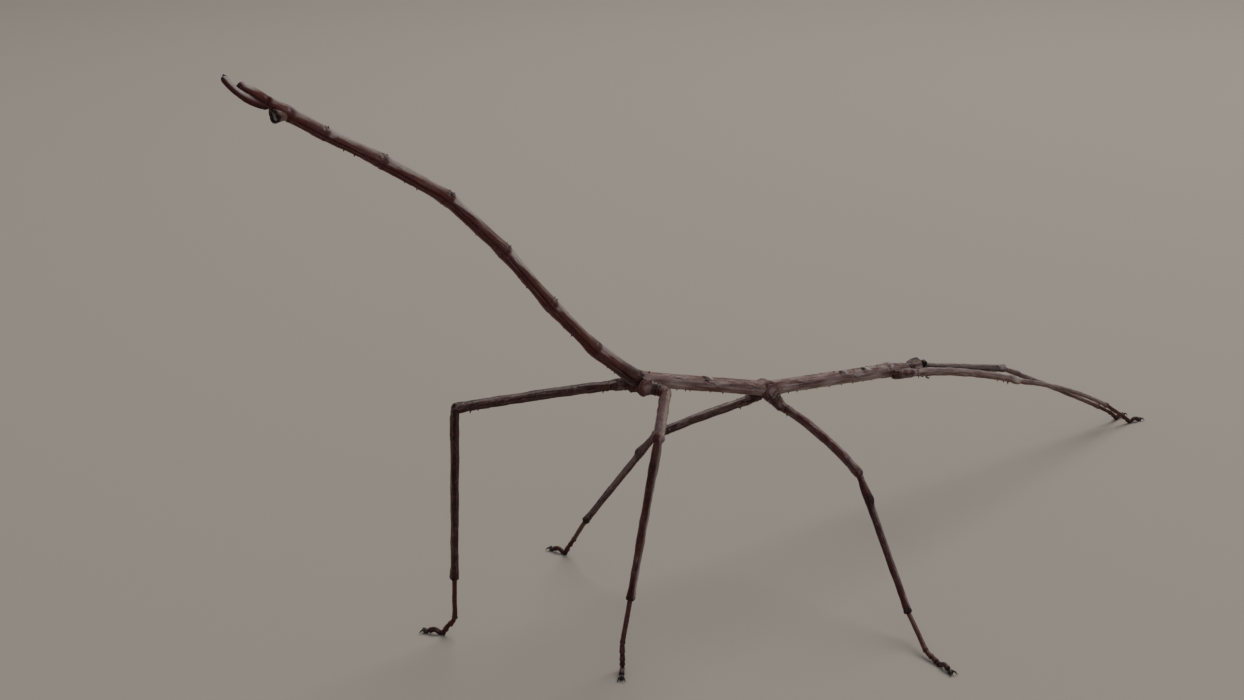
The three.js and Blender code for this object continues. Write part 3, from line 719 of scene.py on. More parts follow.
# Warts on the thorax's back: piece, share of its length, angle and height.
WARTS = (
    ("mesothorax", 0.46, -0.15, 0.22), ("mesothorax", 0.09, -0.1, 0.20), ("mesothorax", 0.16, 0.35, 0.16),
    ("mesothorax", 0.30, -0.30, 0.13), ("metathorax", 0.93, -0.2, 0.22), ("metathorax", 0.9, 0.35, 0.18),
    ("metathorax", 0.04, -0.3, 0.18), ("metathorax", 0.06, 0.3, 0.18), ("prothorax", 0.88, -0.5, 0.15),
    ("prothorax", 0.88, 0.5, 0.15),
)
# Spikes at the abdomen's joints, in pairs: mm behind the joint, or ahead of it where negative, and
# the angle from the back. Those under the belly are given by their share of the length.
JOINT_SPIKES = ((-0.12, 0.35), (0.36, 0.45), (0.3, 1.1))
BELLY_SPIKES = ((0.42, 3.0), (0.62, 3.28))
GRAINS_PER_MM = 2.2


def trunk_thorns(sizes):
    """Teeth under the thorax, warts on its back, spikes at the abdomen's joints, and grains."""
    dice = Random(11)
    spikes = []
    for name, shares in TEETH.items():
        for share in shares:
            for row in (-1, 1):
                around = pi - row * dice.uniform(0.30, 0.42)
                height = sizes.tooth * dice.uniform(0.45, 0.75)
                spikes.append(trunk_spike(name, share + 0.012 * row, around, height, 0.14))
    spikes += [trunk_spike(*wart, 0.16) for wart in WARTS]
    for piece in BODY[3:9]:
        for d, out in JOINT_SPIKES:
            for around in (-out, out):
                share = 1 + d / piece.length if d < 0 else d / piece.length
                spikes.append(trunk_spike(piece.name, share, around, dice.uniform(0.12, 0.19), 0.13))
        spikes += [trunk_spike(piece.name, *place, 0.18, 0.14) for place in BELLY_SPIKES]
    for piece in BODY[:9]:
        for _ in range(round(GRAINS_PER_MM * piece.length)):
            spikes.append(trunk_spike(piece.name, dice.uniform(0.05, 0.95), dice.uniform(-3.1, 3.1),
                                      dice.uniform(0.03, 0.08), dice.uniform(0.06, 0.10)))
    return spikes


# ---- Head ------------------------------------------------------------------------------------

HEAD_AHEAD = heading(0, -HEAD_DROOP)
HEAD_BELOW = -square_to(HEAD_AHEAD, UP)


def head_line():
    """The head's line, from inside the prothorax over the crown to the mouth."""
    start = NECK + Vector((0.12 - HEAD_BACK, 0, 0.05))
    crown = NECK + HEAD_AHEAD * (HEAD_LENGTH / 2) + UP * 0.65
    return curve(start, crown, NECK + HEAD_AHEAD * HEAD_LENGTH)


HEAD_LINE = head_line()


def head_share(s):
    """How far along the head s is, from 0 at the neck to 1 at the mouth."""
    return max(0.0, (s - HEAD_BACK) / (HEAD_LINE.length - HEAD_BACK))


def head_radius(sizes):
    """The head's radius: neck, cranium with a furrow and two low humps, cheeks, a blunt mouth."""
    def radius(s, a):
        t, side = head_share(s), abs(a)
        cranium = 0.55 + 0.45 * sin(pi * min(1, t / 0.8 + 0.08))
        mouth = 0.42 - 0.2 * smooth(t, 0.9, 1)
        plain = sizes.head_radius * max(cranium - 0.044 * smooth(t, 0.55, 0.85), mouth)
        furrow = 0.045 * swelling(a * plain, 0.09) * between(t, 0.05, 0.2, 0.6, 0.75)
        humps = 0.07 * swelling(t - 0.42, 0.12) * swelling(side - 0.45, 0.3)
        cheek = 0.05 * swelling(t - 0.62, 0.22) * swelling(side - 1.9, 0.4)
        seam = 0.035 * swelling((side - 1.35) * plain, 0.07) * between(t, 0.1, 0.3, 0.5, 0.6)
        brow = 0.05 * swelling(t - 0.76, 0.05) * swelling(side, 0.7)
        grooves = ridges(t, (0.04, 0.84, 0.03), (0.05, 0.06, 0.05)) + 0.10 * smooth(side, 2.3, 2.9)
        return plain + humps + cheek + brow - furrow - seam - grooves + 0.7 * bark(s, a, plain, 31.0)
    return radius


def head_marks(s, a):
    """The head's marks: a dark crown, a dark stripe behind the eye, pinkish cheeks, a dark neck."""
    t, side = head_share(s), abs(a)
    ragged = patchy(s, a, 0.6, 2.2, 2)
    dark = 0.9 * swelling(t - 0.02, 0.07) + 1.3 * swelling(side, 0.65) * between(t, 0.08, 0.2, 0.7, 0.85)
    dark += 0.7 * swelling(side - 1.1, 0.2) * smooth(0.66 - t, 0, 0.2) * ragged
    dark += 0.6 * smooth(t, 0.86, 0.98) + 0.6 * smooth(side, 2.2, 2.7)
    pale = 0.6 * swelling(side - 1.5, 0.5) * smooth(ragged, 0.2, 0.6)
    pale += 0.35 * swelling(side - 0.7, 0.2) * between(t, 0.1, 0.3, 0.5, 0.7)
    return tint(dark, pale * (1 - 0.6 * min(1, dark)), 0.3, 0.6 + 0.2 * cos(a))


def sockets(sizes):
    """A raised rim of skin round each eye."""
    out = sizes.eye_radius + 0.08
    return [
        put(ball("eye_rim", (1.12 * out, 0.5 * out, 1.02 * out), lambda p: 1 + 0.04 * noise.noise(4 * p),
                 lambda p: (0.75, 0.1, 0.3, 0.5)), NECK + mirrored(EYE_PLACE - RIM_SUNK, side))
        for side in (1, -1)
    ]


# ---- Tail ------------------------------------------------------------------------------------

CUP_START = Vector((0.2, 0, -0.06))  # from the eighth segment's end
CUP_RUN = Vector((-1.82, -0.30, 0.14))
CUP_BASE = 0.36
CUP_WALL = 0.2


def cup_profile(rim):
    """The cup's outer and inner wall from its base over the rim: radius, and share of the length."""
    outer = ((0, 0), (0.7, 0.01), (1.1, 0.1), (1.25, 0.28), (1.35, 0.48))
    upper = ((0.88, 0, 0.7), (0.95, 0, 0.86), (1, 0, 0.95), (1, 0.3, 1.0), (1, 0.8, 0.99), (1, 1.1, 0.93),
             (0.70, 0, 0.78), (0.60, 0, 0.62), (0.35, 0, 0.50), (0, 0, 0.47))
    return ([(share * CUP_BASE, along) for share, along in outer]
            + [(share * rim - walls * CUP_WALL, along) for share, walls, along in upper])


def poculum(sizes):
    """The cup under the ninth segment: a profile spun into a wall, open towards the tail's tip."""
    start = PIECES["abdomen_8"].end + CUP_START
    length, axis = CUP_RUN.length, CUP_RUN.normalized()
    below = square_to(axis, -UP)
    bm = bmesh.new()
    places, marks = skin_layers(bm)
    verts = [bm.verts.new(start + axis * (along * length) + below * radius)
             for radius, along in cup_profile(sizes.cup_rim)]
    for one, other in zip(verts, verts[1:]):
        bm.edges.new((one, other))
    bmesh.ops.subdivide_edges(bm, edges=bm.edges[:], cuts=2)
    bmesh.ops.spin(bm, geom=bm.verts[:] + bm.edges[:], cent=start, axis=axis, angle=FULL_TURN, steps=48,
                   use_merge=True)
    bmesh.ops.remove_doubles(bm, verts=bm.verts, dist=1e-4)
    for vert in bm.verts:
        along = (vert.co - start).dot(axis) / length
        out = vert.co - start - axis * (along * length)
        turn = atan2(out.dot(LEFT), out.dot(below))
        lip = smooth(along, 0.82, 0.9)
        inner = smooth(along, 0.45, 0.5) * smooth(0.47 - out.length, 0, 0.03) * (1 - lip)
        deep = inner * smooth(0.72 - along, 0, 0.12)
        # The lip slants back below and at its sides, and the wall ripples.
        vert.co -= axis * (smooth(along, 0.5, 1) * (0.14 * cos(turn) + 0.18 * sin(turn) ** 2))
        vert.co += out * (0.07 * ring_wobble(3 * along, turn, 2.2))
        # Painted shade: the deep inside of the cup is painted dark, as shade in its hollow.
        dark = min(1, 0.2 + 0.9 * lip + 0.95 * deep + 0.4 * smooth(0.2 - along, 0, 0.2))
        vert[places] = (300 + length * along, out.dot(LEFT), -out.dot(below))
        vert[marks] = tint(dark * (1 - inner * (1 - deep)), 0.12 * (1 - inner) + 1.3 * inner,
                           0.3 * (1 - inner), 0.6 + 0.4 * inner)
    return skin_object("poculum", bm, places, marks)


def beside_tail(distance, below, out=0.0):
    """A place beside the tenth segment: mm behind its start, below its middle, and to the left."""
    tenth = BODY[-1]
    return tenth.start + tenth.ahead * distance - tenth.dorsal * below + LEFT * out


def cercus(sizes, side):
    """One of the two long appendages below the tenth segment; the right one hangs a little lower."""
    lifted = 0.13 * side
    length = sizes.cercus_length
    line = curve(
        beside_tail(-0.35, 0.30, 0.16 * side),
        beside_tail(0.56 * length, 0.93 - lifted, 0.36 * side),
        beside_tail(1.03 * length - 1.2 * lifted, 0.06 - 1.2 * lifted, 0.27 * side),
    )

    def radius(s, a):
        t = s / line.length
        plain = 0.27 * (1.06 - 0.1 * t) + 0.05 * swelling(t - 0.45, 0.3) * swelling(a, 1.1)
        hollow = 0.05 * swelling(a + side * 0.9, 0.5) * smooth(t, 0.3, 0.6)
        return plain - hollow + 0.9 * bark(s, a, plain, 40 + 9 * side)

    def marks(s, a):
        t, tone = s / line.length, upward(a)
        pale = 1.3 * smooth(tone, 0.45, 0.75) * smooth(t, 0.2, 0.5)
        pale *= 0.6 + 0.4 * patchy(s, a, 1.0, 2.5, 40)
        dark = 0.55 * smooth(0.55 - tone, 0, 0.3) + 0.4 * smooth(t, 0.93, 1)
        dark += 0.3 * smooth(0.4 - t, 0, 0.3)
        return tint(dark, pale, 0.55 * (1 - min(1, pale)), tone)

    return tube("cercus", line, radius, marks, sides=24, step=0.12, wide=0.92, high=1.08, dome=0.42,
                begin=310 + side)


def tail_underside():
    """The soft plates between the tenth segment and the cerci."""
    line = curve(beside_tail(-0.5, 0.25), beside_tail(1.2, 0.52), beside_tail(2.5, 0.22))

    def radius(s, a):
        return 0.38 - 0.10 * s / line.length + 0.04 * swelling(a, 0.3) + 0.8 * bark(s, a, 0.34, 71)

    return tube("tail_underside", line, radius, lambda s, a: (0.45, 0.1, 0.6, 0.4), wide=1.15, high=0.9,
                step=0.13, dome=0.3, begin=320)


# ---- Legs ------------------------------------------------------------------------------------


def lay_leg(row):
    """A leg's sizes and joints, worked out from its lengths and headings down to the floor."""
    leg = SimpleNamespace(**dict(zip(LEG_FIELDS, row)))
    for name, sizes in PAIR_SIZES.items():
        setattr(leg, name, sizes[PAIRS.index(leg.pair)])
    leg.name = f"leg_{leg.pair}_{leg.side}"
    leg.mirror = 1 if leg.side == "left" else -1
    leg.root = mirrored(leg.root, leg.mirror)
    leg.hip = leg.root + heading(*leg.coxa) * leg.coxa_length
    leg.knee = leg.hip + heading(*leg.femur) * leg.femur_length
    leg.ankle = leg.knee + heading(*leg.tibia) * leg.tibia_length
    leg.instep = leg.ankle + heading(*leg.basitarsus) * leg.basitarsus_length
    leg.footward = heading(leg.foot, 0)
    level = sqrt(max(TARSOMERES ** 2 - (leg.instep.z - SOLE_HEIGHT) ** 2, 0.1))
    sole = leg.instep + leg.footward * level
    for name, share, height in FOOT_PLACES:
        place = sole + leg.footward * (share * CLAW_SEGMENT)
        setattr(leg, name, Vector((place.x, place.y, height)))
    return leg


def hip_knob(leg):
    """The round knob on the thorax from which a leg grows, with uneven rings."""
    size, place, axis = HIP_KNOBS[leg.pair]
    off = Vector((0, 0, leg.mirror))

    def folds(direction):
        polar = acos(max(-1.0, min(1.0, direction.z)))
        return polar, cos(FULL_TURN * polar / 0.40 + 3.2 * noise.noise(1.5 * direction + off))

    def reach(direction):
        polar, fold = folds(direction)
        lumps = 0.13 * noise.noise(2.0 * direction) + 0.05 * noise.noise(6 * direction)
        return 1 + 0.045 * fold * smooth(polar, 0.35, 0.6) + lumps

    def marks(direction):
        polar, fold = folds(direction)
        dark = 0.9 * smooth(-fold, 0.1, 0.9) * smooth(polar, 0.45, 0.7) + 0.5 * smooth(polar, 1.1, 1.5)
        return tint(dark, 0.25 * swelling(polar - 0.2, 0.4), 0.3, 0.55)

    return put(ball("hip_knob", size, reach, marks, 40, 28), mirrored(place, leg.mirror),
               mirrored(axis, leg.mirror).normalized())


def elbow(leg):
    """The rounded trochanter between coxa and femur."""
    made = ball("elbow", (leg.elbow_radius,) * 3, lambda p: 1 + 0.06 * noise.noise(3 * p),
                lambda p: tint(0.35 + 0.5 * leg.dark[0], 0, 0.3, 0.5))
    return put(made, leg.hip)


def painted_lit_flank(ahead, up):
    """A function of the angle round a limb: 1 on the flank that faces the light, where painted light goes, 0
    elsewhere.
    """
    above = square_to(ahead, up)
    lateral = ahead.cross(above)
    return lambda a: smooth((above * cos(a) + lateral * sin(a)).dot(LIT_SIDE), 0.1, 0.75)


def coxa(leg, seed):
    """The coxa: a lobe on the thorax's side, wrinkled in its upper half."""
    hip_radius = TROCHANTER_RADIUS + 0.06
    line = bowed(leg.root, leg.hip, before=0.1, after=0.3)

    def fold(s, a):
        warp = 2.4 * ring_wobble(0.9 * s + seed, a, 1.2)
        return cos(FULL_TURN * s / 0.36 + warp) * smooth(0.8 - s / line.length, 0, 0.3)

    def radius(s, a):
        plain = hip_radius + (leg.coxa_radius - hip_radius) * swelling(s / line.length - 0.3, 0.38)
        return plain + 0.035 * fold(s, a) + 1.6 * bark(s, a, plain, seed)

    def marks(s, a):
        ragged = patchy(s, a, 0.8, 1.8, seed)
        dark = 0.2 + 0.6 * smooth(-fold(s, a), 0.1, 0.9) + 0.5 * smooth(ragged, 0.6, 0.85)
        dark += 0.45 * leg.dark[0]
        return tint(dark, 0.3 * smooth(0.45 - ragged, 0, 0.25), 0.2, 0.4 + 0.35 * cos(a))

    return tube("coxa", line, radius, marks, step=0.10, begin=seed)


def weathering_and_painted_light(leg, part, s, a, seed, light):
    """How dark a leg's shaft is before its joints are, less so where `light` paints its lit flank lighter,
    and its ragged patches. `part` is 0 or 1.
    """
    bands = smooth(patchy(s, a, BAND_LENGTHS[part], 0.6, seed), 0.45, 0.75)
    dark = (leg.dark[part] + 0.2 * bands) * (1 - light) + 0.3 * smooth(patchy(s, a, 4, 5, seed), 0.6, 0.8)
    return dark, patchy(s, a, 1.2, 2.5, seed)


def femur_radius(leg, x):
    """The femur's plain radius at x from the hip: trochanter, neck, a long taper and the knee."""
    shaft = leg.femur_radius * (1.06 - 0.14 * x / leg.femur_length)
    return (shaft + (TROCHANTER_RADIUS - shaft) * swelling(x, 0.9) - 0.05 * swelling(x - 1.6, 0.7)
            + 0.05 * swelling(leg.femur_length - x - 0.35, 0.8))


BAND_LENGTHS = (3.2, 3.0)  # of the dark bands along a femur and a tibia
FEMUR_KEELS = ((0.05, 0.62, 0.07), (0.05, 2.45, 0.07))
TIBIA_KEELS = ((0.04, 0.7, 0.07), (0.04, 2.3, 0.07))
TROCHANTER_RINGS = ((-0.06, 0.95, 0.08), (0.05, 1.15, 0.12), (-0.04, 0.45, 0.07))
# Thorns under a femur: share of its length, and height beside that of the usual one.
FEMUR_THORNS = ((0.075, 1.6), (0.17, 0.8), (0.8, 0.8), (0.86, 1.0), (0.905, 1.6))


def femur(leg, seed):
    """The femur with its trochanter: keeled, ringed at the trochanter, with flat lobes at the knee."""
    before = 0.1
    line = bowed(leg.hip, leg.knee, leg.bow[0], before, 0.28)
    flank = painted_lit_flank(heading(*leg.femur), UP)

    def radius(s, a):
        x, e = s - before, leg.femur_length - (s - before)
        plain = femur_radius(leg, x)
        knee = 0.05 * swelling(e + 0.05, 0.45) * swelling(abs(a) - 1.75, 0.6)
        knee += 0.02 * swelling(e - 0.6, 0.3) * swelling(a, 0.8) - 0.04 * swelling(e - 1.35, 0.25)
        crest = leg.femur_crest * swelling(a * plain, 0.16) * smooth(x, 1.0, 2.0)
        return (plain + ridges(x, *TROCHANTER_RINGS) + knee + crest + keels(abs(a), plain, FEMUR_KEELS)
                + bark(s, a, plain, seed))

    def marks(s, a):
        x, e = s - before, leg.femur_length - (s - before)
        tone = 0.62 + 0.3 * cos(a) - 0.22 * leg.red + leg.tone
        # Painted light: the lit flank of the reddest legs is painted paler and less red.
        light = flank(a) * leg.red ** 2
        dark, ragged = weathering_and_painted_light(leg, 0, s, a, seed, light)
        dark += 0.6 * swelling(x - 0.95, 0.14) + 0.4 * swelling(e - 1.7, 0.6) * ragged
        pale = 0.9 * (1 - leg.red) * (1 - 0.8 * leg.dark[0]) * swelling(e - 0.5, 0.75)
        pale *= smooth(tone, 0.45, 0.75)
        pale += 0.3 * smooth(ragged, 0.55, 0.8) * (1 - leg.dark[0]) + 0.25 * light
        return tint(dark, pale, leg.red * (1 - light), tone + 0.2 * light)

    return tube("femur", line, radius, marks, wide=leg.femur_wide, high=1.05, begin=seed)


def leg_thorns(leg, sizes):
    """Thorns under a femur near its ends, smaller ones on its keels, and two on the tibia's lobe."""
    dice = Random(leg.name)
    ahead = heading(*leg.femur)
    above = square_to(ahead, UP)
    lateral = ahead.cross(above)
    line = bowed(leg.hip, leg.knee, leg.bow[0])
    spikes = []

    def spike(x, out, lean, height, radius):
        root = line.point(x) + out * (0.97 * femur_radius(leg, x))
        spikes.append((root, (out.normalized() + ahead * lean).normalized(), height, radius))

    for share, tall in FEMUR_THORNS:
        spike(share * line.length, -above, 0.35, tall * sizes.thorn, 0.15)
    for _ in range(round(0.9 * line.length)):
        turn = dice.choice((0.62, -0.62, 2.45, -2.45)) + dice.uniform(-0.1, 0.1)
        out = above * (1.05 * cos(turn)) + lateral * (0.9 * sin(turn))
        spike(dice.uniform(0.08, 0.95) * line.length, out, 0.4, dice.uniform(0.06, 0.11), 0.06)
    outer = square_to(heading(*leg.tibia), ahead * 2 + UP)
    shin = bowed(leg.knee, leg.ankle, leg.bow[1])
    for past, height in ((-0.2, 0.12), (0.3, 0.10)):
        root = shin.point(LOBE_PLACE + past) + outer * (leg.tibia_radius + leg.tibia_lobe)
        spikes.append((root, outer, height, 0.10))
    return spikes


def tibia(leg, seed):
    """The tibia: slim, keeled, with a lobe on its outer side below the knee, a collar at the ankle."""
    length = leg.tibia_length
    line = bowed(leg.knee, leg.ankle, leg.bow[1], 0.0, 0.1)
    outer = heading(*leg.femur) * 2 + UP
    flank = painted_lit_flank(heading(*leg.tibia), outer)

    def radius(s, a):
        plain = leg.tibia_radius * (1.08 - 0.16 * s / length) + 0.08 * swelling(length - s - 0.3, 0.7)
        past = s - LOBE_PLACE
        lobe = leg.tibia_lobe * swelling(past, 1.1 if past < 0 else 0.4) * (0.2 + 1.5 * swelling(a, 0.8))
        collar = ridges(length - s, (0.06, 0.02, 0.18), (-0.03, 0.5, 0.12))
        return (plain + lobe + collar - 0.05 * swelling(s - 0.55, 0.3) + keels(abs(a), plain, TIBIA_KEELS)
                + 0.9 * bark(s, a, plain, seed))

    def marks(s, a):
        e = length - s
        tone = 0.6 + 0.3 * cos(a) - 0.1 * leg.red + 1.5 * leg.tone
        # Painted light: the lit flank of the reddest legs is painted paler and less red, in bands.
        light = flank(a) * leg.red ** 2 * (0.5 + 0.5 * patchy(s, a, BAND_LENGTHS[1], 0.6, seed))
        dark, ragged = weathering_and_painted_light(leg, 1, s, a, seed, light)
        dark += 0.35 * swelling(s - LOBE_PLACE, 0.7) * smooth(tone, 0.5, 0.8) * (1 - light)
        dark += 0.7 * swelling(e - 0.1, 0.4)
        pale = 0.35 * smooth(tone, 0.6, 0.85) * ragged * smooth(s, 2.5, 5) * smooth(e, 0.6, 3)
        pale = pale * (1 - leg.dark[1]) * (1 - leg.red) + 0.7 * light
        return tint(dark, pale, min(1, 1.3 * leg.red) * (1 - light), tone)

    return tube("tibia", line, radius, marks, wide=1.02, high=0.98, up=outer, begin=seed)


def tarsus(leg, seed):
    """The tarsus: a long first segment, three short ones with pads, and an arched last one."""
    line = through([leg.ankle, leg.ankle.lerp(leg.instep, 0.5), leg.instep, leg.instep.lerp(leg.sole, 0.55),
                    leg.sole, leg.arch, leg.toe])
    first = leg.basitarsus_length

    def radius(s, a):
        pad = 0.6 + 0.7 * swelling(abs(a) - pi, 0.9)
        height = 0.04 * swelling(s - line.length + 0.15, 0.25)
        for joint in TARSAL_JOINTS:
            x = s - first - joint
            height += 0.07 * swelling(x + 0.12, 0.16) * pad - 0.06 * swelling(x - 0.1, 0.08)
        plain = TARSUS_RADIUS - 0.03
        return plain + height + 0.5 * bark(s, a, plain, seed)

    def marks(s, a):
        grooves = ridges(s - first, *((1, joint + 0.1, 0.12) for joint in TARSAL_JOINTS))
        tip = smooth(s, first, line.length)
        return tint(0.5 + 0.35 * tip + 0.4 * grooves, 0.0, 0.75 - 0.4 * tip, 0.7 * upward(a))

    return tube("tarsus", line, radius, marks, sides=20, step=0.13, up=UP + leg.footward, dome=0.2,
                begin=seed)


# ---- Materials -------------------------------------------------------------------------------

MIX_FACTOR, MIX_A, MIX_B, MIX_RESULT = 0, 6, 7, 2  # sockets of a colour Mix node


def node(tree, kind, settings=None, links=None):
    """Adds a node: `settings` are its properties and sockets' values, `links` what feeds sockets."""
    made = tree.nodes.new("ShaderNode" + kind)
    for key, value in (settings or {}).items():
        if isinstance(key, str) and hasattr(made, key):
            setattr(made, key, value)
        else:
            made.inputs[key].default_value = value
    for key, output in (links or {}).items():
        tree.links.new(output, made.inputs[key])
    return made


def rgba(colour):
    """A colour property as four numbers."""
    return (*colour, 1)


def new_material(name):
    """A new material and its empty tree."""
    made = bpy.data.materials.new(name)
    made.use_nodes = True
    made.node_tree.nodes.clear()
    return made, made.node_tree


def surfaced(tree, height, bump, settings, links):
    """Ends a material's tree: relief from `height`, the shader and the output."""
    relief = node(tree, "Bump", bump, {"Height": height})
    shader = node(tree, "BsdfPrincipled", settings, {**links, "Normal": relief.outputs["Normal"]})
    node(tree, "OutputMaterial", links={"Surface": shader.outputs["BSDF"]})


def clouded(tree, size, detail, one=None, other=None, low=0.0, high=1.0):
    """Soft clouds of `size` mm on Object coordinates: the place, the cloud, and two colours in it."""
    place = node(tree, "TexCoord").outputs["Object"]
    cloud = node(tree, "TexNoise", {"Scale": 1 / (size * MM), "Detail": detail},
                 {"Vector": place}).outputs["Fac"]
    if one is None:
        return place, cloud, None
    share = node(tree, "MapRange", {"From Min": low, "From Max": high}, {"Value": cloud})
    colour = node(tree, "Mix", {"data_type": "RGBA", MIX_A: rgba(one), MIX_B: rgba(other)},
                  {MIX_FACTOR: share.outputs["Result"]})
    return place, cloud, colour.outputs[MIX_RESULT]


# Patterns on a limb's own place: cells to the mm along it and across it, and detail. Streaks are
# fibres about 0.17 mm wide and 2 mm long, blotches weathered patches of 1 to 2 mm. Real grains
# are nearer 0.03 mm; they are drawn at 0.1 mm so that they show.
PATTERNS = {
    "streaks": (0.45, 6.0, 4), "blotches": (0.5, 1.0, 3), "grain": (9.0, 11.0, 5), "flecks": (2.2, 4.5, 2),
}
# Colours over the belly's, the lowest first: colour, pattern, the pattern's values at no and at
# full strength, that strength, and the mark that masks it.
CUTICLE_LAYERS = (
    ("side", "lit", 0.35, 0.85, 1.0, None),
    ("back", "lit", 0.85, 1.25, 1.0, None),
    ("pale", "streaks", 0.56, 0.72, 0.35, None),
    ("dark", "streaks", 0.44, 0.30, 0.45, None),
    ("red", "blotches", 0.8, 0.4, 1.0, "Blue"),
    ("pale", "blotches", 0.2, 0.5, 1.0, "Green"),
    ("dark", "flecks", 0.2, 0.5, 1.0, "Red"),
    ("dark", "flecks", 0.62, 0.72, 0.4, None),
    ("pale", "grain", 0.58, 0.75, 0.16, None),
)


def weathered_cuticle(colours):
    """Sclerotised chitin with a bark-like surface: matt, streaked along each limb, grained."""
    made, tree = new_material("weathered_chitin_cuticle")
    limb = node(tree, "Attribute", {"attribute_name": "limb"}).outputs["Vector"]
    marks = node(tree, "Attribute", {"attribute_name": "marks"}).outputs
    masks = node(tree, "SeparateColor", links={"Color": marks["Color"]}).outputs
    patterns = {}
    for name, (along, across, detail) in PATTERNS.items():
        scaled = node(tree, "Mapping", {"Scale": (along, across, across)}, {"Vector": limb})
        patterns[name] = node(tree, "TexNoise", {"Scale": 1.0, "Detail": detail, "Roughness": 0.6},
                              {"Vector": scaled.outputs["Vector"]}).outputs["Fac"]
    # From belly to side to back, with the border broken up by the streaks: the upper sides are lighter,
    # partly the cuticle's own colour and partly painted light from above. The relief adds grains to the
    # streaks.
    for name, most, one, other in (("lit", 0.55, "streaks", marks["Alpha"]),
                                   ("relief", 0.6, "grain", patterns["streaks"])):
        patterns[name] = node(tree, "Math", {"operation": "MULTIPLY_ADD", 1: most},
                              {0: patterns[one], 2: other}).outputs[0]
    links = {}
    for name, pattern, none, full, most, mask in CUTICLE_LAYERS:
        share = node(tree, "MapRange", {"From Min": none, "From Max": full, "To Max": most},
                     {"Value": patterns[pattern]}).outputs["Result"]
        if mask:
            share = node(tree, "Math", {"operation": "MULTIPLY", "use_clamp": True},
                         {0: masks[mask], 1: share}).outputs[0]
        mix = {"data_type": "RGBA", MIX_A: rgba(colours.belly), MIX_B: rgba(getattr(colours, name))}
        links = {MIX_A: node(tree, "Mix", mix, {MIX_FACTOR: share, **links}).outputs[MIX_RESULT]}
    rough = node(tree, "MapRange", {"From Min": 0.3, "From Max": 0.8, "To Max": 0.75},
                 {"Value": patterns["grain"]})
    surfaced(tree, patterns["relief"], {"Strength": 0.9, "Distance": 0.05 * MM},
             {"IOR": 1.5, "Specular IOR Level": 0.22},
             {"Base Color": links[MIX_A], "Roughness": rough.outputs["Result"]})
    return made


def faceted_cornea(colours):
    """The eye's cornea: clear chitin lenses over dark pigment, smooth and glossy."""
    made, tree = new_material("faceted_cornea")
    place, _, colour = clouded(tree, 0.35, 2.0, colours.eye, colours.eye_tint, 0.4, 0.75)
    # Real facets are about 0.03 mm; they are drawn at 0.06 mm so that they show.
    facets = node(tree, "TexVoronoi", {"Scale": 1 / (0.06 * MM)}, {"Vector": place}).outputs["Distance"]
    surfaced(tree, facets, {"Strength": 0.25, "Distance": 0.01 * MM, "invert": True},
             {"Roughness": 0.18, "IOR": 1.5, "Specular IOR Level": 0.2}, {"Base Color": colour})
    return made


def horny(name, light, dark, roughness, size):
    """Hard chitin of claws and feelers: darker, smoother, in clouds of `size` mm."""
    made, tree = new_material(name)
    _, cloud, colour = clouded(tree, size, 3.0, light, dark, 0.35, 0.7)
    rough = node(tree, "MapRange", {"To Min": roughness, "To Max": roughness + 0.2}, {"Value": cloud})
    surfaced(tree, cloud, {"Strength": 0.5, "Distance": 0.02 * MM}, {"IOR": 1.55},
             {"Base Color": colour, "Roughness": rough.outputs["Result"]})
    return made


def matt_card(colours):
    """The studio floor: matt uncoated card, with a faint unevenness."""
    made, tree = new_material("matt_card")
    _, cloud, _ = clouded(tree, 125, 2.0)
    surfaced(tree, cloud, {"Strength": 0.02, "Distance": MM},
             {"Base Color": rgba(colours.floor), "Roughness": 0.95}, {})
    return made


# ---- Settings --------------------------------------------------------------------------------


def length_property(name, default, description):
    """A size, shown as a plain number of millimetres."""
    return FloatProperty(name=name, description=f"{description}, in mm", default=default, min=0.01,
                         precision=3)


def colour_property(name, hex_colour, description):
    """A colour given as sRGB hex and kept linear."""
    return FloatVectorProperty(name=name, description=description, subtype="COLOR", size=3, min=0,
                               max=1, default=linear(hex_colour))


def number_property(name, default, description, unit="NONE", least=0):
    """A number with a lower limit."""
    return FloatProperty(name=name, description=description, default=default, min=least, unit=unit)


class StickInsectSizes(PropertyGroup):
    """The sizes a user would change, in millimetres."""

    head_radius: length_property("Head radius", 0.88, "Half the width of the head across the eyes")
    eye_radius: length_property("Eye radius", 0.4, "Half the height of an eye")
    antenna_length: length_property("Feeler length", 15.8, "Length of a feeler")
    antenna_radius: length_property("Feeler radius", 0.17, "Half the thickness of a feeler at its base")
    tooth: length_property("Thorax teeth", 0.27, "Height of the teeth under the thorax")
    thorn: length_property("Femur thorns", 0.2, "Height of the thorns under the femora")
    cup_rim: length_property("Cup radius", 0.62, "Radius of the rim of the cup under the tail")
    cercus_length: length_property("Cercus length", 4.1, "Length of the two tail appendages")
    claw_reach: length_property("Claw reach", 0.68, "How far a claw reaches past its pad's middle")


class StickInsectColours(PropertyGroup):
    """The colours a user would change."""

    # Back, side and belly colours go from the upper to the lower side: partly the cuticle's own colours,
    # partly painted light from above and shade below.
    back: colour_property("Back", "94807c", "Weathered grey-beige of the back")
    side: colour_property("Side", "6a4741", "Purplish brown of the sides")
    belly: colour_property("Belly", "54292b", "Dark maroon of the underside")
    pale: colour_property("Pale", "c9beb8", "Pale patches, saddles and streaks")
    dark: colour_property("Dark", "260f11", "Joints, creases and scars")
    red: colour_property("Red", "602423", "Red-brown of tibiae, tarsi and tail")
    eye: colour_property("Eye", "0c0808", "Dark pigment of the eye")
    eye_tint: colour_property("Eye tint", "20120f", "Brown clouding of the eye")
    claw: colour_property("Claw", "1c1210", "Claws and pads")
    feeler: colour_property("Feeler", "4a3832", "Feelers and mouthparts")
    floor: colour_property("Floor", "aea69c", "Studio floor")


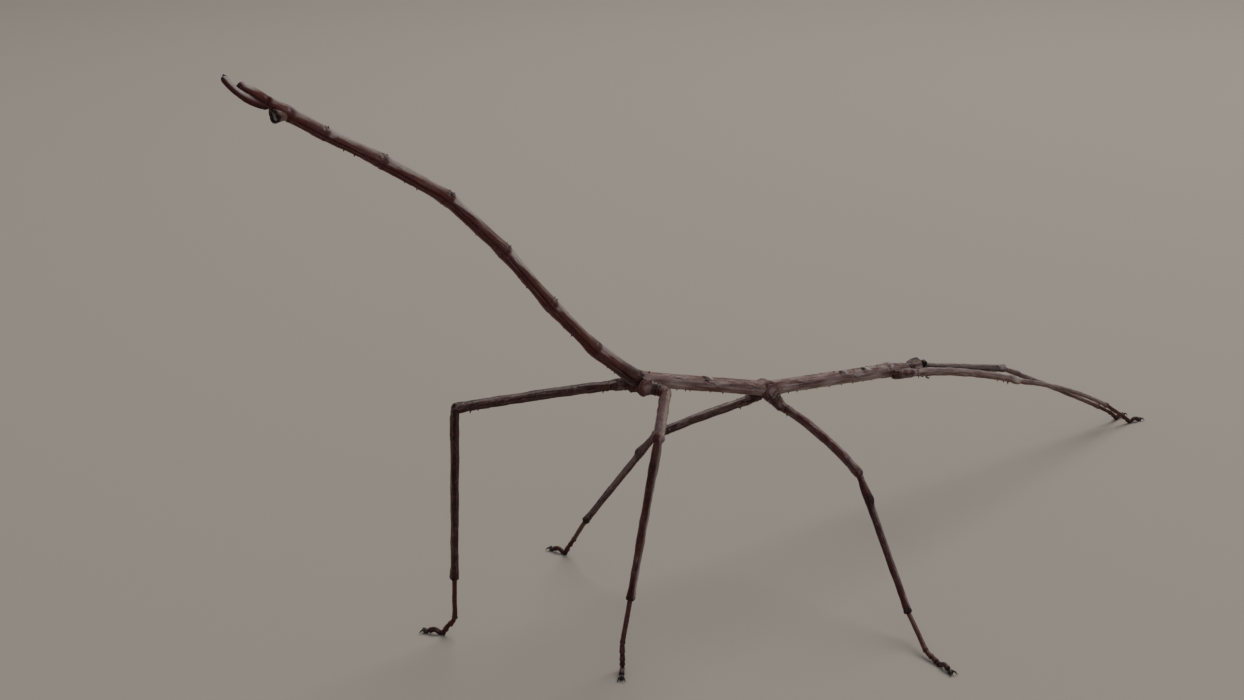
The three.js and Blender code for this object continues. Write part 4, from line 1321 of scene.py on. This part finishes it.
class StickInsectStage(PropertyGroup):
    """The studio's settings."""

    key_power: number_property("Key light", 3.6, "Power of the large soft light in watts", "POWER")
    fill_power: number_property("Fill light", 0.7, "Power of the light near the camera in watts", "POWER")
    sky: number_property("Room light", 0.35, "Strength of the even light of the room")
    lens: number_property("Lens", 50.3, "Focal length on a 36 mm wide sensor", "CAMERA", 1)
    floor_size: IntProperty(name="Floor size", description="Width of the floor in metres", default=6,
                            min=1)


# ---- Operators -------------------------------------------------------------------------------


class STICKINSECT_OT_skin(Operator):
    """Grow one skin over the head, trunk, tail and legs"""

    bl_idname = "stick_insect.skin"
    bl_label = "Skin"

    def execute(self, context):
        sizes, colours = context.scene.stick_insect_sizes, context.scene.stick_insect_colours
        skin = tube("skin", trunk_line(), trunk_radius, trunk_marks, sides=TRUNK_SIDES, step=TRUNK_STEP,
                    dome=0.3)
        head = tube("head", HEAD_LINE, head_radius(sizes), head_marks, sides=TRUNK_SIDES, step=0.08,
                    wide=1.04, begin=-20)
        unite(skin, head, *sockets(sizes))
        unite(skin, tail_underside(), poculum(sizes), cercus(sizes, 1), cercus(sizes, -1))
        spikes = trunk_thorns(sizes)
        replaced = ["head", "poculum", "cercus_left", "cercus_right", *PIECES]
        for number, leg in enumerate(map(lay_leg, LEGS)):
            seed = 400 + 50 * number
            limb = (elbow(leg), femur(leg, seed + 10), tibia(leg, seed + 25), tarsus(leg, seed + 40))
            set_on_floor(limb[-1])
            unite(skin, unite(coxa(leg, seed), *limb))
            if leg.pair in HIP_KNOBS:
                unite(skin, hip_knob(leg))
            spikes += leg_thorns(leg, sizes)
            replaced += [f"{leg.name}_{part}" for part in ("coxa", "femur", "tibia", "tarsus")]
        unite(skin, thorns("thorns", spikes))
        finished(skin, replaced, weathered_cuticle(colours))
        return {"FINISHED"}


class STICKINSECT_OT_eyes(Operator):
    """Set two faceted eyes in their sockets"""

    bl_idname = "stick_insect.eyes"
    bl_label = "Eyes"

    def execute(self, context):
        sizes = context.scene.stick_insect_sizes
        cornea = faceted_cornea(context.scene.stick_insect_colours)
        for side, sign in (("left", 1), ("right", -1)):
            bm = bmesh.new()
            bmesh.ops.create_uvsphere(bm, u_segments=48, v_segments=32, radius=sizes.eye_radius)
            bmesh.ops.scale(bm, vec=(1.1, 0.85, 1), verts=bm.verts)
            bmesh.ops.translate(bm, vec=NECK + mirrored(EYE_PLACE, sign), verts=bm.verts)
            finished(new_object(f"eyeball_{side}", bm), [f"eye_{side}"], cornea)
        return {"FINISHED"}


class STICKINSECT_OT_antennae(Operator):
    """Lay two ringed feelers forward between the front legs"""

    bl_idname = "stick_insect.antennae"
    bl_label = "Feelers"

    def execute(self, context):
        sizes, colours = context.scene.stick_insect_sizes, context.scene.stick_insect_colours
        chitin = horny("feeler_chitin", colours.feeler, colours.dark, 0.5, 0.5)
        rings = [row for joint in FEELER_JOINTS
                 for row in ((0.014, joint - 0.08, 0.09), (-0.016, joint, 0.04))]
        for side, sign in (("left", 1), ("right", -1)):
            root = NECK + mirrored(FEELER_ROOT, sign)
            tip = root + heading(0, -FEELER_DROOP) * sizes.antenna_length
            tip.y = sign * FEELER_OUT
            line = bowed(root + mirrored(FEELER_SUNK, sign), tip)

            def radius(s, a, line=line):
                taper = sizes.antenna_radius * (1 - 0.45 * s / line.length)
                scape = 0.07 * smooth(1.35 - s, 0, 0.2) + 0.03 * smooth(1.75 - s, 0, 0.2)
                return taper + scape + ridges(s, *rings)

            made = tube(f"feeler_{side}", line, radius, sides=14, step=0.06, dome=0.2)
            finished(made, [f"antenna_{side}"], chitin)
        return {"FINISHED"}


class STICKINSECT_OT_mouthparts(Operator):
    """Add the lip, jaws and palps"""

    bl_idname = "stick_insect.mouthparts"
    bl_label = "Mouthparts"

    def execute(self, context):
        colours = context.scene.stick_insect_colours
        mouth = NECK + HEAD_AHEAD * (HEAD_LENGTH - 0.05)

        def away(start, ahead, below, out=0.0):
            """A place some mm ahead of another, below it and to the left."""
            return start + HEAD_AHEAD * ahead + HEAD_BELOW * below + LEFT * out

        lip = curve(away(mouth, -0.35, -0.1), away(mouth, 0.12, 0), away(mouth, 0.05, 0.42))
        made = tube("mouthparts", lip, lambda s, a: 0.24 - 0.05 * s, wide=1.5, high=0.55, sides=20,
                    step=0.06, dome=0.12, up=HEAD_AHEAD)
        for sign in (1, -1):
            jaw = away(mouth, -0.3, 0.05, 0.26 * sign)
            hook = curve(jaw, away(jaw, 0.2, 0.35, 0.08 * sign), away(jaw, 0.25, 0.55, -0.12 * sign))
            unite(made, tube("jaw", hook, lambda s, a: 0.2 - 0.12 * s, sides=16, step=0.06, dome=0.12))
            for behind, length, spread in ((0.5, 1.15, 0.30), (0.35, 0.75, 0.14)):
                root = away(mouth, -behind, 0.28, spread * sign)
                knee = away(root, 0.2 * length, 0.45 * length, 0.16 * sign)
                palp = through([root, knee, away(knee, 0.55 * length, 0.12 * length, -0.05 * sign)])
                rings = [row for joint in (0.0, 0.3 * palp.length, 0.55 * palp.length, 0.8 * palp.length)
                         for row in ((0.02, joint - 0.05, 0.07), (-0.02, joint, 0.03))]
                unite(made, tube("palp", palp, lambda s, a, rings=rings: 0.085 + ridges(s, *rings), sides=12,
                                 step=0.035, dome=0.07, up=HEAD_AHEAD))
        finished(made, [], horny("mouthpart_chitin", colours.feeler, colours.dark, 0.4, 0.3))
        return {"FINISHED"}


class STICKINSECT_OT_claws(Operator):
    """Put a pad and two hooked claws at the end of each foot"""

    bl_idname = "stick_insect.claws"
    bl_label = "Claws"

    def execute(self, context):
        sizes, colours = context.scene.stick_insect_sizes, context.scene.stick_insect_colours
        horn = horny("claw_horn", colours.claw, colours.dark, 0.25, 0.4)
        for leg in map(lay_leg, LEGS):
            centre = leg.toe + leg.footward * PAD_AHEAD
            centre.z = PAD_HEIGHT
            turned = Matrix.Translation(centre) @ Matrix.Rotation(radians(leg.foot), 4, "Z")
            bm = bmesh.new()
            bmesh.ops.create_uvsphere(bm, u_segments=24, v_segments=16, radius=PAD_RADIUS)
            for vert in bm.verts:
                # The pad is notched between its two lobes.
                vert.co.x *= 1.1 - 0.25 * swelling(vert.co.y, 0.08) * smooth(vert.co.x, 0, 0.25)
            bmesh.ops.transform(bm, matrix=turned, verts=bm.verts)
            made = new_object(f"{leg.name}_foot_claws", bm)
            for sign in (-1, 1):
                out = Quaternion(UP, CLAW_SPREAD * sign) @ leg.footward
                arch, tip = centre + out * (0.66 * sizes.claw_reach), centre + out * sizes.claw_reach
                arch.z, tip.z = 0.56, 0.06
                hook = curve(centre + UP * 0.05, arch, tip)
                unite(made, tube("claw", hook, lambda s, a: max(0.03, 0.15 - 0.15 * s), sides=12, step=0.05,
                                 dome=0.06))
            set_on_floor(made)
            finished(made, [f"{leg.name}_claws"], horn)
        return {"FINISHED"}


class STICKINSECT_OT_stage(Operator):
    """Set up the floor, the lights and the camera"""

    bl_idname = "stick_insect.stage"
    bl_label = "Stage"

    def execute(self, context):
        scene = context.scene
        stage = scene.stick_insect_stage
        bm = bmesh.new()
        bmesh.ops.create_grid(bm, x_segments=1, y_segments=1, size=stage.floor_size / 2)
        floor = new_object("floor", bm)
        floor.data.materials.append(matt_card(scene.stick_insect_colours))

        world = bpy.data.worlds.new("studio")
        world.use_nodes = True
        background = world.node_tree.nodes["Background"]
        background.inputs["Color"].default_value = rgba(linear(ROOM_COLOUR))
        background.inputs["Strength"].default_value = stage.sky
        scene.world = world

        for name, place, colour in LIGHTS:
            data = bpy.data.lights.new(name, "AREA")
            data.shape = "DISK"
            data.size = LIGHT_SIZE
            data.energy = getattr(stage, f"{name}_power")
            data.color = linear(colour)
            lamp = bpy.data.objects.new(name, data)
            lamp.location = place
            lamp.rotation_euler = (LIGHT_AIM - Vector(place)).to_track_quat("-Z", "Y").to_euler()
            scene.collection.objects.link(lamp)

        data = bpy.data.cameras.new("camera")
        data.sensor_width = SENSOR_WIDTH
        data.lens = stage.lens
        data.clip_start = CLIP_START
        camera = bpy.data.objects.new("camera", data)
        camera.location = (CAMERA_PLACE + SHIFT) * MM
        camera.rotation_euler = (radians(90 - CAMERA_DOWN), 0, radians(CAMERA_BEARING - 90))
        scene.collection.objects.link(camera)
        scene.camera = camera
        return {"FINISHED"}


class STICKINSECT_PT_panel(Panel):
    """The stick insect's pieces and settings"""

    bl_idname = "STICKINSECT_PT_panel"
    bl_label = "Stick Insect"
    bl_space_type = "VIEW_3D"
    bl_region_type = "UI"
    bl_category = "Stick Insect"

    def draw(self, context):
        for operator in OPERATORS:
            self.layout.operator(operator.bl_idname)
        for group in SETTINGS:
            box = self.layout.box()
            owner = getattr(context.scene, group)
            for name in owner.__annotations__:
                box.prop(owner, name)


OPERATORS = (
    STICKINSECT_OT_stage,
    STICKINSECT_OT_skin,
    STICKINSECT_OT_eyes,
    STICKINSECT_OT_antennae,
    STICKINSECT_OT_mouthparts,
    STICKINSECT_OT_claws,
)
SETTINGS = {
    "stick_insect_sizes": StickInsectSizes,
    "stick_insect_colours": StickInsectColours,
    "stick_insect_stage": StickInsectStage,
}


def register():
    for group in SETTINGS.values():
        bpy.utils.register_class(group)
    for name, group in SETTINGS.items():
        setattr(bpy.types.Scene, name, PointerProperty(type=group))
    for operator in (*OPERATORS, STICKINSECT_PT_panel):
        bpy.utils.register_class(operator)


def unregister():
    for operator in reversed((*OPERATORS, STICKINSECT_PT_panel)):
        bpy.utils.unregister_class(operator)
    for name in SETTINGS:
        delattr(bpy.types.Scene, name)
    for group in reversed(SETTINGS.values()):
        bpy.utils.unregister_class(group)


def main():
    """Builds every piece."""
    register()
    bpy.ops.stick_insect.stage()
    bpy.ops.stick_insect.skin()
    bpy.ops.stick_insect.eyes()
    bpy.ops.stick_insect.antennae()
    bpy.ops.stick_insect.mouthparts()
    bpy.ops.stick_insect.claws()


if __name__ == "__main__":
    main()
